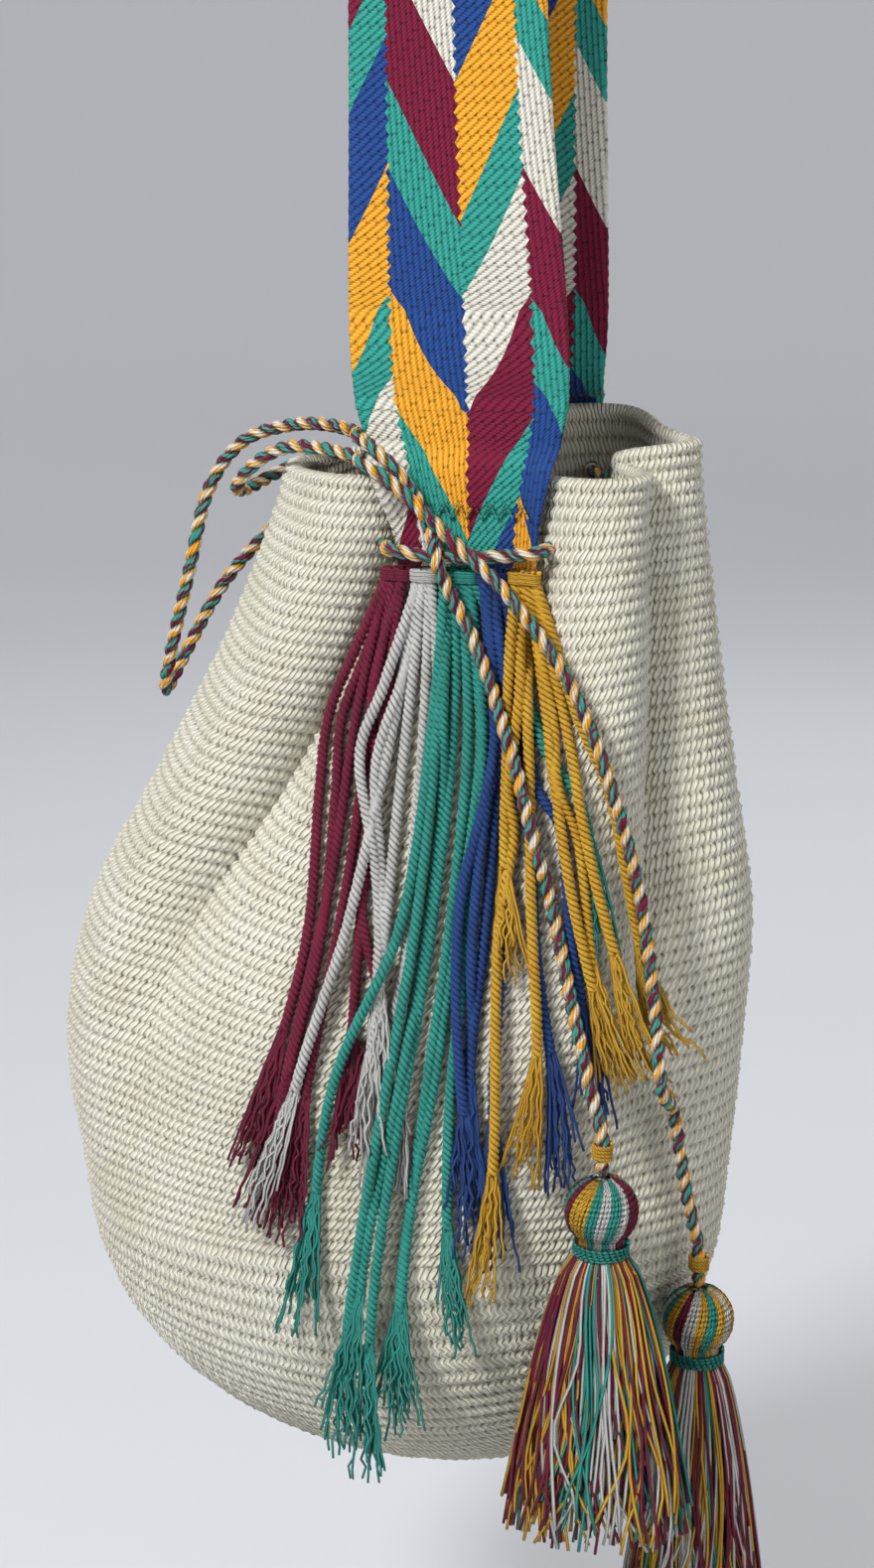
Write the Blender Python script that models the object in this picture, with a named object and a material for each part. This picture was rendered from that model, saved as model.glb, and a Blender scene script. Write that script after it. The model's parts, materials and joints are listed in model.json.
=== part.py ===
"""Crocheted drawstring bucket bag, hanging by its woven shoulder strap.

The origin is the top of the strap's loop, where a peg or a hand carries the bag.
+Z is up, +X is the bag's right as seen from the front, and the front faces -Y.
"""
import math

import bmesh
import bpy
import numpy as np
from mathutils import Vector
from mathutils.bvhtree import BVHTree

MM = 0.001

# Crocheted shell
RIM_Z = -503 * MM
CREASE_Z = -770 * MM
BASE_DROP = 96 * MM
BASE_SHIFT = 16 * MM
BASE_START = 0.12
BASE_DIP = 0.18
WALL = 4 * MM
RIM_BEAD = 6 * MM
RIM_RADIUS = 3 * MM
BASE_FULLNESS = 0.85
RIM_LIFT = 17 * MM
RIM_LIFT_REACH = 0.45
RIM_LIFTS = ((-44, 0.0), (5, 0.55), (55, 1.0), (135, 1.0), (188, 0.1), (205, 0.0), (316, 0.0))
SHELL_SEGMENTS = 68
WALL_ROWS = 12
BASE_ROWS = 5

# Shell stations in mm: height, centre x, half width, half depth and depth of the folds
STATIONS = (
    (-503, 8, 56, 43, 12),
    (-560, 1, 71, 50, 12),
    (-610, -8, 89, 57, 11),
    (-660, -18, 109, 64, 8),
    (-705, -25, 117, 69, 4),
    (-770, -25, 115, 71, 0),
)
# Folds of the gathered mouth: plan angle in degrees at the rim and at the drift level, and
# offset as a share of the fold depth. The wide flat panels at 275 and 450 degrees carry the
# two ends of the strap.
FOLDS = (
    (242, 225, -1.20), (256, 240, -0.70), (297, 285, -0.70), (318, 304, 0.95),
    (340, 321, -1.00), (364, 350, 0.95), (390, 385, 0.40), (411, 411, 0.70),
    (434, 434, -0.70), (466, 466, -0.70), (486, 486, 0.70), (511, 511, -0.80),
    (523, 523, -0.80), (560, 548, 1.10), (582, 566, 1.10), (602, 585, -1.20),
)
FOLD_DRIFT_LEVEL = 0.6
FOLD_ROUNDNESS = 0.45

# Shoulder strap
STRAP_THICKNESS = 2.6 * MM
STRAP_WIDTH = 72 * MM
STRAP_TOP_WIDTH = 63 * MM
STRAP_END_WIDTH = 46 * MM
STRAP_END_Z = -533 * MM
STRAP_GATHER_Z = -470 * MM
STRAP_FLAT_Z = -460 * MM
STRAP_CUPPED_Z = -330 * MM
STRAP_LEG_OUT = 31 * MM
PEG_RADIUS = 8 * MM
STRAP_SEGMENTS = 8
STRAP_FEELER = 4 * MM
SEAM_HEIGHT = 5 * MM
SEAM_FRONT_Z = -514 * MM
SEAM_BACK_Z = -521 * MM
THREAD_RADIUS = 0.6 * MM

# Drawstring
CORD_RADIUS = 2.3 * MM
RUN_CENTRE_X = 3 * MM
RUN_HALF_WIDTH = 47 * MM
RUN_HALF_DEPTH = 43.5 * MM
RUN_Z = -517 * MM
RUN_TILT = 12 * MM
RUN_OPENING = (144, 162)
EYELET_CLEARANCE = 0.7 * MM

# Fringe
FRINGE_RADIUS = 1.9 * MM
TUFT_RADIUS = 3.2 * MM
TUFT_LENGTH = 45 * MM
HEADER_HEIGHT = 4 * MM
HEADER_THICKNESS = 3 * MM

# Tassels
HEAD_RADIUS = 12.7 * MM
HEAD_DEPTH = 13.8 * MM
NECK_RADIUS = 8.2 * MM
NECK_DEPTH = 27 * MM
NECK_WRAP = 2.0 * MM
SKIRT_LENGTH = 101 * MM

GAP = 0.3 * MM
LAY_GAP = 1.0 * MM
PATH_TOLERANCE = 0.3 * MM
FRONT = -1
BACK = 1
SEAM_Z = {FRONT: SEAM_FRONT_Z, BACK: SEAM_BACK_Z}


def linear(hex_colour):
    """Linear RGBA of an sRGB hex colour."""
    values = [int(hex_colour[i:i + 2], 16) / 255 for i in (1, 3, 5)]
    return [v / 12.92 if v <= 0.04045 else ((v + 0.055) / 1.055) ** 2.4 for v in values] + [1.0]


def material(name, hex_colour, roughness):
    mat = bpy.data.materials.get(name)
    if mat is None:
        mat = bpy.data.materials.new(name)
        mat.use_nodes = True
        shader = mat.node_tree.nodes["Principled BSDF"]
        shader.inputs["Base Color"].default_value = linear(hex_colour)
        shader.inputs["Roughness"].default_value = roughness
        shader.inputs["Metallic"].default_value = 0.0
        mat.diffuse_color = linear(hex_colour)
    return mat


def add_object(name, data, mat):
    obj = bpy.data.objects.new(name, data)
    bpy.context.scene.collection.objects.link(obj)
    if mat is not None:
        data.materials.append(mat)
    return obj


def add_mesh(name, verts, faces, mat):
    mesh = bpy.data.meshes.new(name)
    mesh.from_pydata([tuple(v) for v in verts], [], faces)
    mesh.update()
    mesh.shade_smooth()
    mesh.set_sharp_from_angle(angle=math.radians(50))
    return add_object(name, mesh, mat)


def add_cords(name, cords, mat, sides=2):
    """Curve object whose poly splines are cords, each a list of points and a list of radii."""
    curve = bpy.data.curves.new(name, "CURVE")
    curve.dimensions = "3D"
    curve.bevel_depth = 1.0
    curve.bevel_resolution = sides
    curve.use_fill_caps = True
    for points, radii in cords:
        spline = curve.splines.new("POLY")
        spline.points.add(len(points) - 1)
        for point, co, radius in zip(spline.points, points, radii):
            point.co = (*co, 1.0)
            point.radius = radius
    return add_object(name, curve, mat)


def as_mesh_guide(obj):
    """Turn a curve object into a mesh that is only used by Boolean modifiers."""
    evaluated = obj.evaluated_get(bpy.context.evaluated_depsgraph_get())
    mesh = bpy.data.meshes.new_from_object(evaluated)
    work = bmesh.new()
    work.from_mesh(mesh)
    bmesh.ops.remove_doubles(work, verts=work.verts[:], dist=0.001 * MM)
    work.to_mesh(mesh)
    work.free()
    guide = add_object(obj.name + "_guide", mesh, None)
    guide.hide_render = True
    guide.display_type = "WIRE"
    bpy.data.objects.remove(obj)
    return guide


def add_boolean(obj, operation, other):
    modifier = obj.modifiers.new(operation.title(), "BOOLEAN")
    modifier.operation = operation
    modifier.solver = "EXACT"
    modifier.object = other


def ring_faces(start, other, count):
    """Quads between two rings of count vertices, wound for rings listed from top to bottom."""
    return [(start + i, other + i, other + (i + 1) % count, start + (i + 1) % count)
            for i in range(count)]


def smooth_curve(points, spacing):
    """Points about spacing apart along a smooth curve through the route points."""
    pts = np.array(points, float)
    ends = np.vstack([2 * pts[0] - pts[1], pts, 2 * pts[-1] - pts[-2]])
    dense = []
    for i in range(1, len(ends) - 2):
        p0, p1, p2, p3 = ends[i - 1:i + 3]
        for t in np.arange(24) / 24:
            dense.append(0.5 * (2 * p1 + (p2 - p0) * t + (2 * p0 - 5 * p1 + 4 * p2 - p3) * t ** 2
                                + (3 * p1 - p0 - 3 * p2 + p3) * t ** 3))
    dense = np.vstack([dense, pts[-1]])
    return resample(dense, spacing)


def resample(points, spacing):
    steps = np.linalg.norm(np.diff(points, axis=0), axis=1)
    along = np.concatenate([[0], np.cumsum(steps)])
    count = max(2, int(round(along[-1] / spacing)) + 1)
    at = np.linspace(0, along[-1], count)
    return np.column_stack([np.interp(at, along, points[:, k]) for k in range(points.shape[1])])


def thin(points, tolerance):
    """Drop the points of a path that lie within the tolerance of the straight line past them."""
    keep = [0, len(points) - 1]
    spans = [(0, len(points) - 1)]
    while spans:
        a, b = spans.pop()
        if b - a < 2:
            continue
        chord = points[b] - points[a]
        share = np.clip((points[a + 1:b] - points[a]) @ chord / max(chord @ chord, 1e-12), 0, 1)
        off = np.linalg.norm(points[a + 1:b] - points[a] - share[:, None] * chord, axis=1)
        worst = int(np.argmax(off))
        if off[worst] > tolerance:
            middle = a + 1 + worst
            keep.append(middle)
            spans += [(a, middle), (middle, b)]
    return points[sorted(keep)]


def stations(z):
    """Centre x, half width, half depth and fold depth of the shell's wall at height z."""
    table = np.array(STATIONS, float) * MM
    heights = table[::-1, 0]
    slopes = np.gradient(table[::-1, 1:], heights, axis=0)
    i = int(np.clip(np.searchsorted(heights, z) - 1, 0, len(heights) - 2))
    span = heights[i + 1] - heights[i]
    t = (z - heights[i]) / span
    low, high = table[::-1, 1:][i], table[::-1, 1:][i + 1]
    return ((2 * t ** 3 - 3 * t ** 2 + 1) * low + (t ** 3 - 2 * t ** 2 + t) * span * slopes[i]
            + (3 * t ** 2 - 2 * t ** 3) * high + (t ** 3 - t ** 2) * span * slopes[i + 1])


def fold(angle, level):
    """Offset of the folds, from -1.1 to 1.1, and the sideways lean that rounds their crests."""
    drift = min(level / FOLD_DRIFT_LEVEL, 1.0)
    table = [(rim + (low - rim) * drift, share) for rim, low, share in FOLDS]
    degrees = (math.degrees(angle) - table[0][0]) % 360 + table[0][0]
    for (a0, f0), (a1, f1) in zip(table, table[1:]):
        if degrees <= a1:
            t = (degrees - a0) / (a1 - a0)
            ease = (1 - math.cos(math.pi * t)) / 2
            return f0 + (f1 - f0) * ease, (f0 - f1) * math.sin(math.pi * t) / 2
    return table[-1][1], 0.0


def rim_lift(angle):
    """How far the strap's back leg draws the rim up, from 0 to 1."""
    degrees = (math.degrees(angle) + 44) % 360 - 44
    for (a0, l0), (a1, l1) in zip(RIM_LIFTS, RIM_LIFTS[1:]):
        if degrees <= a1:
            return l0 + (l1 - l0) * (1 - math.cos(math.pi * (degrees - a0) / (a1 - a0))) / 2
    return 0.0


def shell_point(angle, level):
    """Middle of the shell's wall. Level 0 is the rim, 1 the crease and 2 the base's middle."""
    z = RIM_Z + (CREASE_Z - RIM_Z) * min(level, 1.0)
    centre, half_width, half_depth, depth = stations(z)
    offset, lean = fold(angle, level)
    turned = angle + FOLD_ROUNDNESS * lean * depth / half_depth
    z += RIM_LIFT * rim_lift(angle) * max(0.0, 1 - level / RIM_LIFT_REACH) ** 2
    if level > 1:
        turn = level - 1 + BASE_DIP * math.sin(angle) ** 2 * math.sin(math.pi * (level - 1))
        turn = BASE_START + (math.pi / 2 - BASE_START) * turn
        share = (math.sin(turn) - math.sin(BASE_START)) / (1 - math.sin(BASE_START))
        z -= BASE_DROP * share
        centre += BASE_SHIFT * share ** 3
        narrowing = (math.cos(turn) / math.cos(BASE_START)) ** BASE_FULLNESS
        half_width *= narrowing
        half_depth *= narrowing
    x, y = half_width * math.cos(turned), half_depth * math.sin(turned)
    outward = Vector((math.cos(turned) * half_depth, math.sin(turned) * half_width, 0))
    outward = outward.normalized() * offset * depth
    return Vector((centre + x, y, z)) + outward


def shell_normal(angle, level):
    step = 0.004
    around = shell_point(angle + step, level) - shell_point(angle - step, level)
    down = shell_point(angle, min(level + step, 1.999)) - shell_point(angle, level - step)
    return down.cross(around).normalized()


def shell_thickness(level):
    below = (RIM_Z - CREASE_Z) * level
    if below < RIM_RADIUS:
        return RIM_BEAD * math.sqrt(max(0.0, 1 - (1 - below / RIM_RADIUS) ** 2))
    return WALL + (RIM_BEAD - WALL) * math.exp(-((below - RIM_RADIUS) / (4 * MM)) ** 2)


def build_shell():
    wall = RIM_Z - CREASE_Z
    rolled = [0.6 * MM, RIM_RADIUS * 0.55, RIM_RADIUS, 2.6 * RIM_RADIUS]
    outer = [v / wall for v in rolled]
    outer += list(np.linspace(18 * MM / wall, 1.0, WALL_ROWS))
    outer += [1 + k / BASE_ROWS for k in range(1, BASE_ROWS)]
    inner = [v / wall for v in rolled] + list(np.linspace(24 * MM / wall, 1.0, 6))
    inner += [1.3, 1.65]
    angles = [2 * math.pi * i / SHELL_SEGMENTS for i in range(SHELL_SEGMENTS)]
    verts, faces = [], []

    def add_side(levels, side):
        rows = []
        for level in levels:
            rows.append(len(verts))
            half = shell_thickness(level) / 2
            for angle in angles:
                normal = shell_normal(angle, max(level, 0.02))
                verts.append(shell_point(angle, level) + normal * half * side)
        for upper, lower in zip(rows, rows[1:]):
            quads = ring_faces(upper, lower, SHELL_SEGMENTS)
            faces.extend(quads if side > 0 else [q[::-1] for q in quads])
        pole = len(verts)
        verts.append(shell_point(0.0, 2.0) - Vector((0, 0, WALL / 2 * side)))
        for i in range(SHELL_SEGMENTS):
            fan = (rows[-1] + i, pole, rows[-1] + (i + 1) % SHELL_SEGMENTS)
            faces.append(fan if side > 0 else fan[::-1])
        return rows[0]

    outside = add_side(outer, 1)
    inside = add_side(inner, -1)
    faces.extend(q[::-1] for q in ring_faces(outside, inside, SHELL_SEGMENTS))
    return verts, faces


class Surface:
    """What has been laid so far, seen along Y from the front or from the back.

    Heights are distances from the plane y = 0 towards the viewer.
    """

    def __init__(self, side, solids):
        self.side = side
        self.trees = [BVHTree.FromPolygons([tuple(v) for v in verts], faces)
                      for verts, faces in solids]
        self.cords = np.zeros((0, 4))

    def height(self, x, z):
        best = None
        for tree in self.trees:
            hit = tree.ray_cast(Vector((x, 0.5 * self.side, z)), Vector((0, -self.side, 0)))[0]
            if hit is not None and (best is None or hit.y * self.side > best):
                best = hit.y * self.side
        return best

    def highest(self, x, z, reach):
        """Greatest height within reach of a place, or None."""
        steps = np.array((-1.0, -0.5, 0.0, 0.5, 1.0)) * reach
        found = [self.height(x + dx, z + dz) for dx in steps for dz in steps]
        return max((level for level in found if level is not None), default=None)

    def rest(self, x, z, radius):
        """Height at which a ball touches nothing, or None where nothing lies below it."""
        reach = radius + LAY_GAP
        found = []
        for dx in np.array((-1.0, -0.7, -0.35, 0.0, 0.35, 0.7, 1.0)) * reach:
            for dz in np.array((-0.8, -0.4, 0.0, 0.4, 0.8)) * reach:
                square = reach ** 2 - dx ** 2 - dz ** 2
                level = self.height(x + dx, z + dz) if square >= 0 else None
                if level is not None:
                    found.append(level + math.sqrt(square))
        if len(self.cords):
            far = self.cords[:, 3] + reach
            square = far ** 2 - (self.cords[:, 0] - x) ** 2 - (self.cords[:, 1] - z) ** 2
            near = square > 0
            if near.any():
                found.append((self.cords[near, 2] + np.sqrt(square[near])).max())
        return max(found) if found else None

    def lay(self, route, radius, hanging, end_radius=None):
        """Lay a cord along a route of x, z and least height; it follows what lies under it.

        A fourth value of 0 in a route point marks where the cord hangs free beside the bag.
        A hanging cord never goes back towards the bag below the place that held it out.
        Returns the cord's points and a record of it for the cords that cross it later.
        """
        path = smooth_curve([tuple(p) + (1,) * (4 - len(p)) for p in route], 2.5 * MM)
        to_end = 2.5 * MM * np.arange(len(path))[::-1]
        radii = radius + ((end_radius or radius) - radius) * np.clip(1 - to_end / TUFT_LENGTH, 0, 1)
        floor = path[:, 2].copy()
        for k, (x, z, low, laid) in enumerate(path):
            level = self.rest(x, z, radii[k]) if laid > 0.5 else None
            if level is not None:
                floor[k] = max(low, level)
        wanted = np.maximum.accumulate(floor) if hanging else floor
        kernel = np.exp(-np.linspace(-1.6, 1.6, 9) ** 2)
        padded = np.pad(wanted, 4, mode="edge")
        height = np.maximum(np.convolve(padded, kernel / kernel.sum(), mode="valid"), floor)
        points = np.column_stack([path[:, 0], height * self.side, path[:, 1]])
        record = np.column_stack([path[:, 0], path[:, 1], height, radii])
        return thin(points, PATH_TOLERANCE), record


def strap_centre(z, side):
    """Centre x of a strap leg: it wanders a little to the left between the peg and the bag."""
    low = 5 * MM if side == FRONT else 3 * MM
    bow = (-9 if side == FRONT else 8) * MM
    share = z / STRAP_END_Z
    return low * share + bow * math.sin(math.pi * share)


def strap_half_width(z):
    """Half width of a leg: cupped narrower towards the peg, gathered narrower at its end."""
    gathered = np.clip((z - STRAP_GATHER_Z) / (STRAP_END_Z - STRAP_GATHER_Z), 0, 1)
    gathered = gathered ** 2 * (3 - 2 * gathered)
    cupped = np.clip((z - STRAP_FLAT_Z) / (STRAP_CUPPED_Z - STRAP_FLAT_Z), 0, 1)
    cupped = cupped ** 2 * (3 - 2 * cupped)
    width = STRAP_WIDTH + (STRAP_END_WIDTH - STRAP_WIDTH) * gathered
    return (width + (STRAP_TOP_WIDTH - STRAP_WIDTH) * cupped) / 2


def build_strap(shell):
    """Woven band: up the front, over the peg and down the back, gathered at both ends."""
    views = {side: Surface(side, [shell]) for side in (FRONT, BACK)}
    half = STRAP_THICKNESS / 2
    leg = list(np.linspace(STRAP_END_Z, STRAP_GATHER_Z - PEG_RADIUS, 11))
    leg += list(np.linspace(STRAP_FLAT_Z + 10 * MM, -PEG_RADIUS, 7))
    stationing = [(FRONT, z, None) for z in leg]
    stationing += [(0, None, a) for a in np.linspace(-60, 60, 5)]
    stationing += [(BACK, z, None) for z in reversed(leg)]
    middle = []
    for side, z, bend in stationing:
        row = []
        for k in range(STRAP_SEGMENTS + 1):
            across = 2 * k / STRAP_SEGMENTS - 1
            if side == 0:
                angle = math.radians(bend)
                lift = PEG_RADIUS + half
                row.append(Vector((across * STRAP_TOP_WIDTH / 2, lift * math.sin(angle),
                                   lift * math.cos(angle) - PEG_RADIUS)))
                continue
            x = strap_centre(z, side) + across * strap_half_width(z)
            share = (-z - PEG_RADIUS) / (-STRAP_GATHER_Z - PEG_RADIUS)
            level = PEG_RADIUS + half + (STRAP_LEG_OUT - PEG_RADIUS) * max(share, 0) ** 1.4
            gather = np.clip((STRAP_GATHER_Z - z) / (20 * MM), 0, 1)
            level += 0.9 * MM * gather * (1 - math.cos(5 * math.pi * across)) / 2
            highest = views[side].highest(x, z, STRAP_FEELER)
            if highest is not None:
                level = max(level, highest + LAY_GAP + half)
            row.append(Vector((x, level * side, z)))
        middle.append(row)
    verts, faces = [], []
    count = STRAP_SEGMENTS + 1
    for i, row in enumerate(middle):
        ahead = middle[min(i + 1, len(middle) - 1)]
        behind = middle[max(i - 1, 0)]
        normals = []
        for k in range(count):
            side_step = row[min(k + 1, count - 1)] - row[max(k - 1, 0)]
            normals.append((ahead[k] - behind[k]).cross(side_step).normalized())
        ring = [row[k] - normals[k] * half for k in range(count)]
        ring += [row[k] + normals[k] * half for k in reversed(range(count))]
        verts.extend(ring)
    size = 2 * count
    for i in range(len(middle) - 1):
        faces.extend(ring_faces((i + 1) * size, i * size, size))
    last = (len(middle) - 1) * size
    for k in range(count - 1):
        faces.append((k + 1, k, size - 1 - k, size - 2 - k))
        faces.append((last + k, last + k + 1, last + size - 2 - k, last + size - 1 - k))
    return verts, faces


def build_run(strap):
    """Closed centre line of the drawstring at the gathered mouth, bent out over the strap."""
    angles = np.radians(np.arange(0, 360, 6))
    path = np.column_stack([RUN_CENTRE_X + RUN_HALF_WIDTH * np.cos(angles),
                            RUN_HALF_DEPTH * np.sin(angles), RUN_Z + RUN_TILT * np.sin(angles)])
    for side in (FRONT, BACK):
        view = Surface(side, [strap])
        for point in path:
            resting = view.rest(point[0], point[2], CORD_RADIUS + 2 * EYELET_CLEARANCE)
            if point[1] * side > 0 and resting is not None:
                point[1] = side * max(point[1] * side, resting)
    return path


def cord_with_round_end(points, radius):
    """Radii that end the cord in a dome centred on its last point."""
    points = [Vector(p) for p in points]
    along = (points[-1] - points[-2]).normalized()
    end = points[-1]
    radii = [radius] * len(points)
    for step in (30, 58, 80):
        angle = math.radians(step)
        points.append(end + along * radius * math.sin(angle))
        radii.append(radius * math.cos(angle))
    return points, radii


def header_box(surface, left, right, z_top):
    """Knotted head of one colour of fringe: a short bar that follows the panel behind it."""
    z_low = z_top - HEADER_HEIGHT
    columns = []
    for x in np.linspace(left, right, 5):
        highest = surface.highest(x, (z_top + z_low) / 2, HEADER_HEIGHT / 2)
        level = highest + LAY_GAP + HEADER_THICKNESS / 2
        columns.append((x, level))
    verts = []
    for x, level in columns:
        for h, z in ((level - HEADER_THICKNESS / 2, z_top), (level + HEADER_THICKNESS / 2, z_top),
                     (level + HEADER_THICKNESS / 2, z_low), (level - HEADER_THICKNESS / 2, z_low)):
            verts.append(Vector((x, h * surface.side, z)))
    faces = []
    for i in range(len(columns) - 1):
        faces.extend(ring_faces(4 * i, 4 * i + 4, 4))
    last = 4 * (len(columns) - 1)
    faces += [(0, 1, 2, 3), (last + 3, last + 2, last + 1, last)]
    if surface.side == FRONT:
        faces = [f[::-1] for f in faces]
    return verts, faces, max(level for _, level in columns)


def build_fringe(name, surface, routes, mat):
    """One colour of fringe: plied cords that leave a common head and open into tufts."""
    tops = [route[0][0] * MM for route in routes]
    z_top = STRAP_END_Z - GAP
    verts, faces, level = header_box(surface, min(tops) - FRINGE_RADIUS - 0.2 * MM,
                                     max(tops) + FRINGE_RADIUS + 0.2 * MM, z_top)
    header = add_mesh(name, verts, faces, mat)
    placed = []
    for k, route in enumerate(routes):
        full = [(x * MM, z * MM, level) for x, z in route]
        full[0] = (full[0][0], z_top - HEADER_HEIGHT / 2, level)
        points, record = surface.lay(full, FRINGE_RADIUS, True, TUFT_RADIUS)
        placed.append(record)
        points[0] = (full[0][0], level * surface.side, full[0][1])
        steps = np.linalg.norm(np.diff(points, axis=0), axis=1)
        to_end = np.append(np.cumsum(steps[::-1])[::-1], 0)
        share = np.clip(1 - to_end / TUFT_LENGTH, 0, 1)
        radii = FRINGE_RADIUS + (TUFT_RADIUS - FRINGE_RADIUS) * share
        cord = add_cords("_".join((name, "cord", str(k))), [(points, radii)], None, 1)
        add_boolean(header, "UNION", as_mesh_guide(cord))
    surface.cords = np.vstack([surface.cords] + placed)
    return header


def build_tassel(name, pivot, skirt_half_width, skirt_half_depth, lean, mat):
    """Thread tassel: a ball head with a seat for the cord's end, a waist and a ribbed skirt."""
    seat = CORD_RADIUS + GAP
    slope = seat * math.sqrt(0.5)
    profile = [(slope, -slope), (slope + 1.9 * MM, -slope + 1.9 * MM)]
    for angle in (38, 62, 88, 114, 134):
        a = math.radians(angle)
        profile.append((HEAD_RADIUS * math.sin(a), -HEAD_DEPTH + HEAD_RADIUS * math.cos(a)))
    profile.append((NECK_RADIUS, -NECK_DEPTH + 2.2 * MM))
    profile.append((NECK_RADIUS, -NECK_DEPTH - 2.2 * MM))
    top = -NECK_DEPTH - 4 * MM
    for share in (0.0, 0.18, 0.42, 0.7, 1.0):
        profile.append((None, top - (SKIRT_LENGTH - 4 * MM) * share))
    segments = 20
    verts = [Vector((0, 0, -seat))]
    for radius, z in profile:
        share = 0 if radius is not None else (top - z) / (SKIRT_LENGTH - 4 * MM)
        for i in range(segments):
            a = 2 * math.pi * i / segments
            rib = 1 + (0.05 if i % 2 else -0.05) * min(1, 4 * share)
            wide = radius if radius is not None else (
                10.5 * MM + (skirt_half_width - 10.5 * MM) * share ** 0.6) * rib
            deep = radius if radius is not None else (
                10.5 * MM + (skirt_half_depth - 10.5 * MM) * share ** 0.6) * rib
            verts.append(Vector((wide * math.cos(a), deep * math.sin(a) - lean * share, z)))
    faces = [(0, 1 + i, 1 + (i + 1) % segments) for i in range(segments)]
    for row in range(len(profile) - 1):
        faces.extend(ring_faces(1 + row * segments, 1 + (row + 1) * segments, segments))
    low = 1 + (len(profile) - 1) * segments
    centre = len(verts)
    verts.append(Vector((0, -lean, profile[-1][1] + 4 * MM)))
    faces.extend((low + i, centre, low + (i + 1) % segments) for i in range(segments))
    tassel = add_mesh(name, verts, faces, mat)
    tassel.location = pivot
    return tassel


def build_band(name, centre, inner, outer, height, mat):
    """Ring of wrapped thread with rounded edges."""
    section = [(inner, height / 2 - 0.4 * MM), (inner, -height / 2 + 0.4 * MM),
               ((inner + outer) / 2, -height / 2), (outer, -height / 4), (outer, height / 4),
               ((inner + outer) / 2, height / 2)]
    segments = 20
    verts = [Vector((r * math.cos(2 * math.pi * i / segments),
                     r * math.sin(2 * math.pi * i / segments), z))
             for r, z in section for i in range(segments)]
    faces = []
    for row in range(len(section)):
        quads = ring_faces(row * segments, (row + 1) % len(section) * segments, segments)
        faces.extend(q[::-1] for q in quads)
    band = add_mesh(name, verts, faces, mat)
    band.location = centre
    return band


def build_stitches(name, surface, mat):
    """Zigzag of seam thread that sews one end of the strap to the mouth."""
    x = strap_centre(STRAP_END_Z, surface.side)
    middle = SEAM_Z[surface.side]
    route = [(x + (k - 8) * 2.6 * MM, middle + (k % 2 - 0.5) * SEAM_HEIGHT, 0) for k in range(17)]
    laid = [surface.lay(pair, THREAD_RADIUS, False) for pair in zip(route, route[1:])]
    surface.cords = np.vstack([surface.cords] + [record for _, record in laid])
    points = [laid[0][0][0]] + [p for piece, _ in laid for p in piece[1:]]
    return add_cords(name, [(points, [THREAD_RADIUS] * len(points))], mat, 1)


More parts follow.
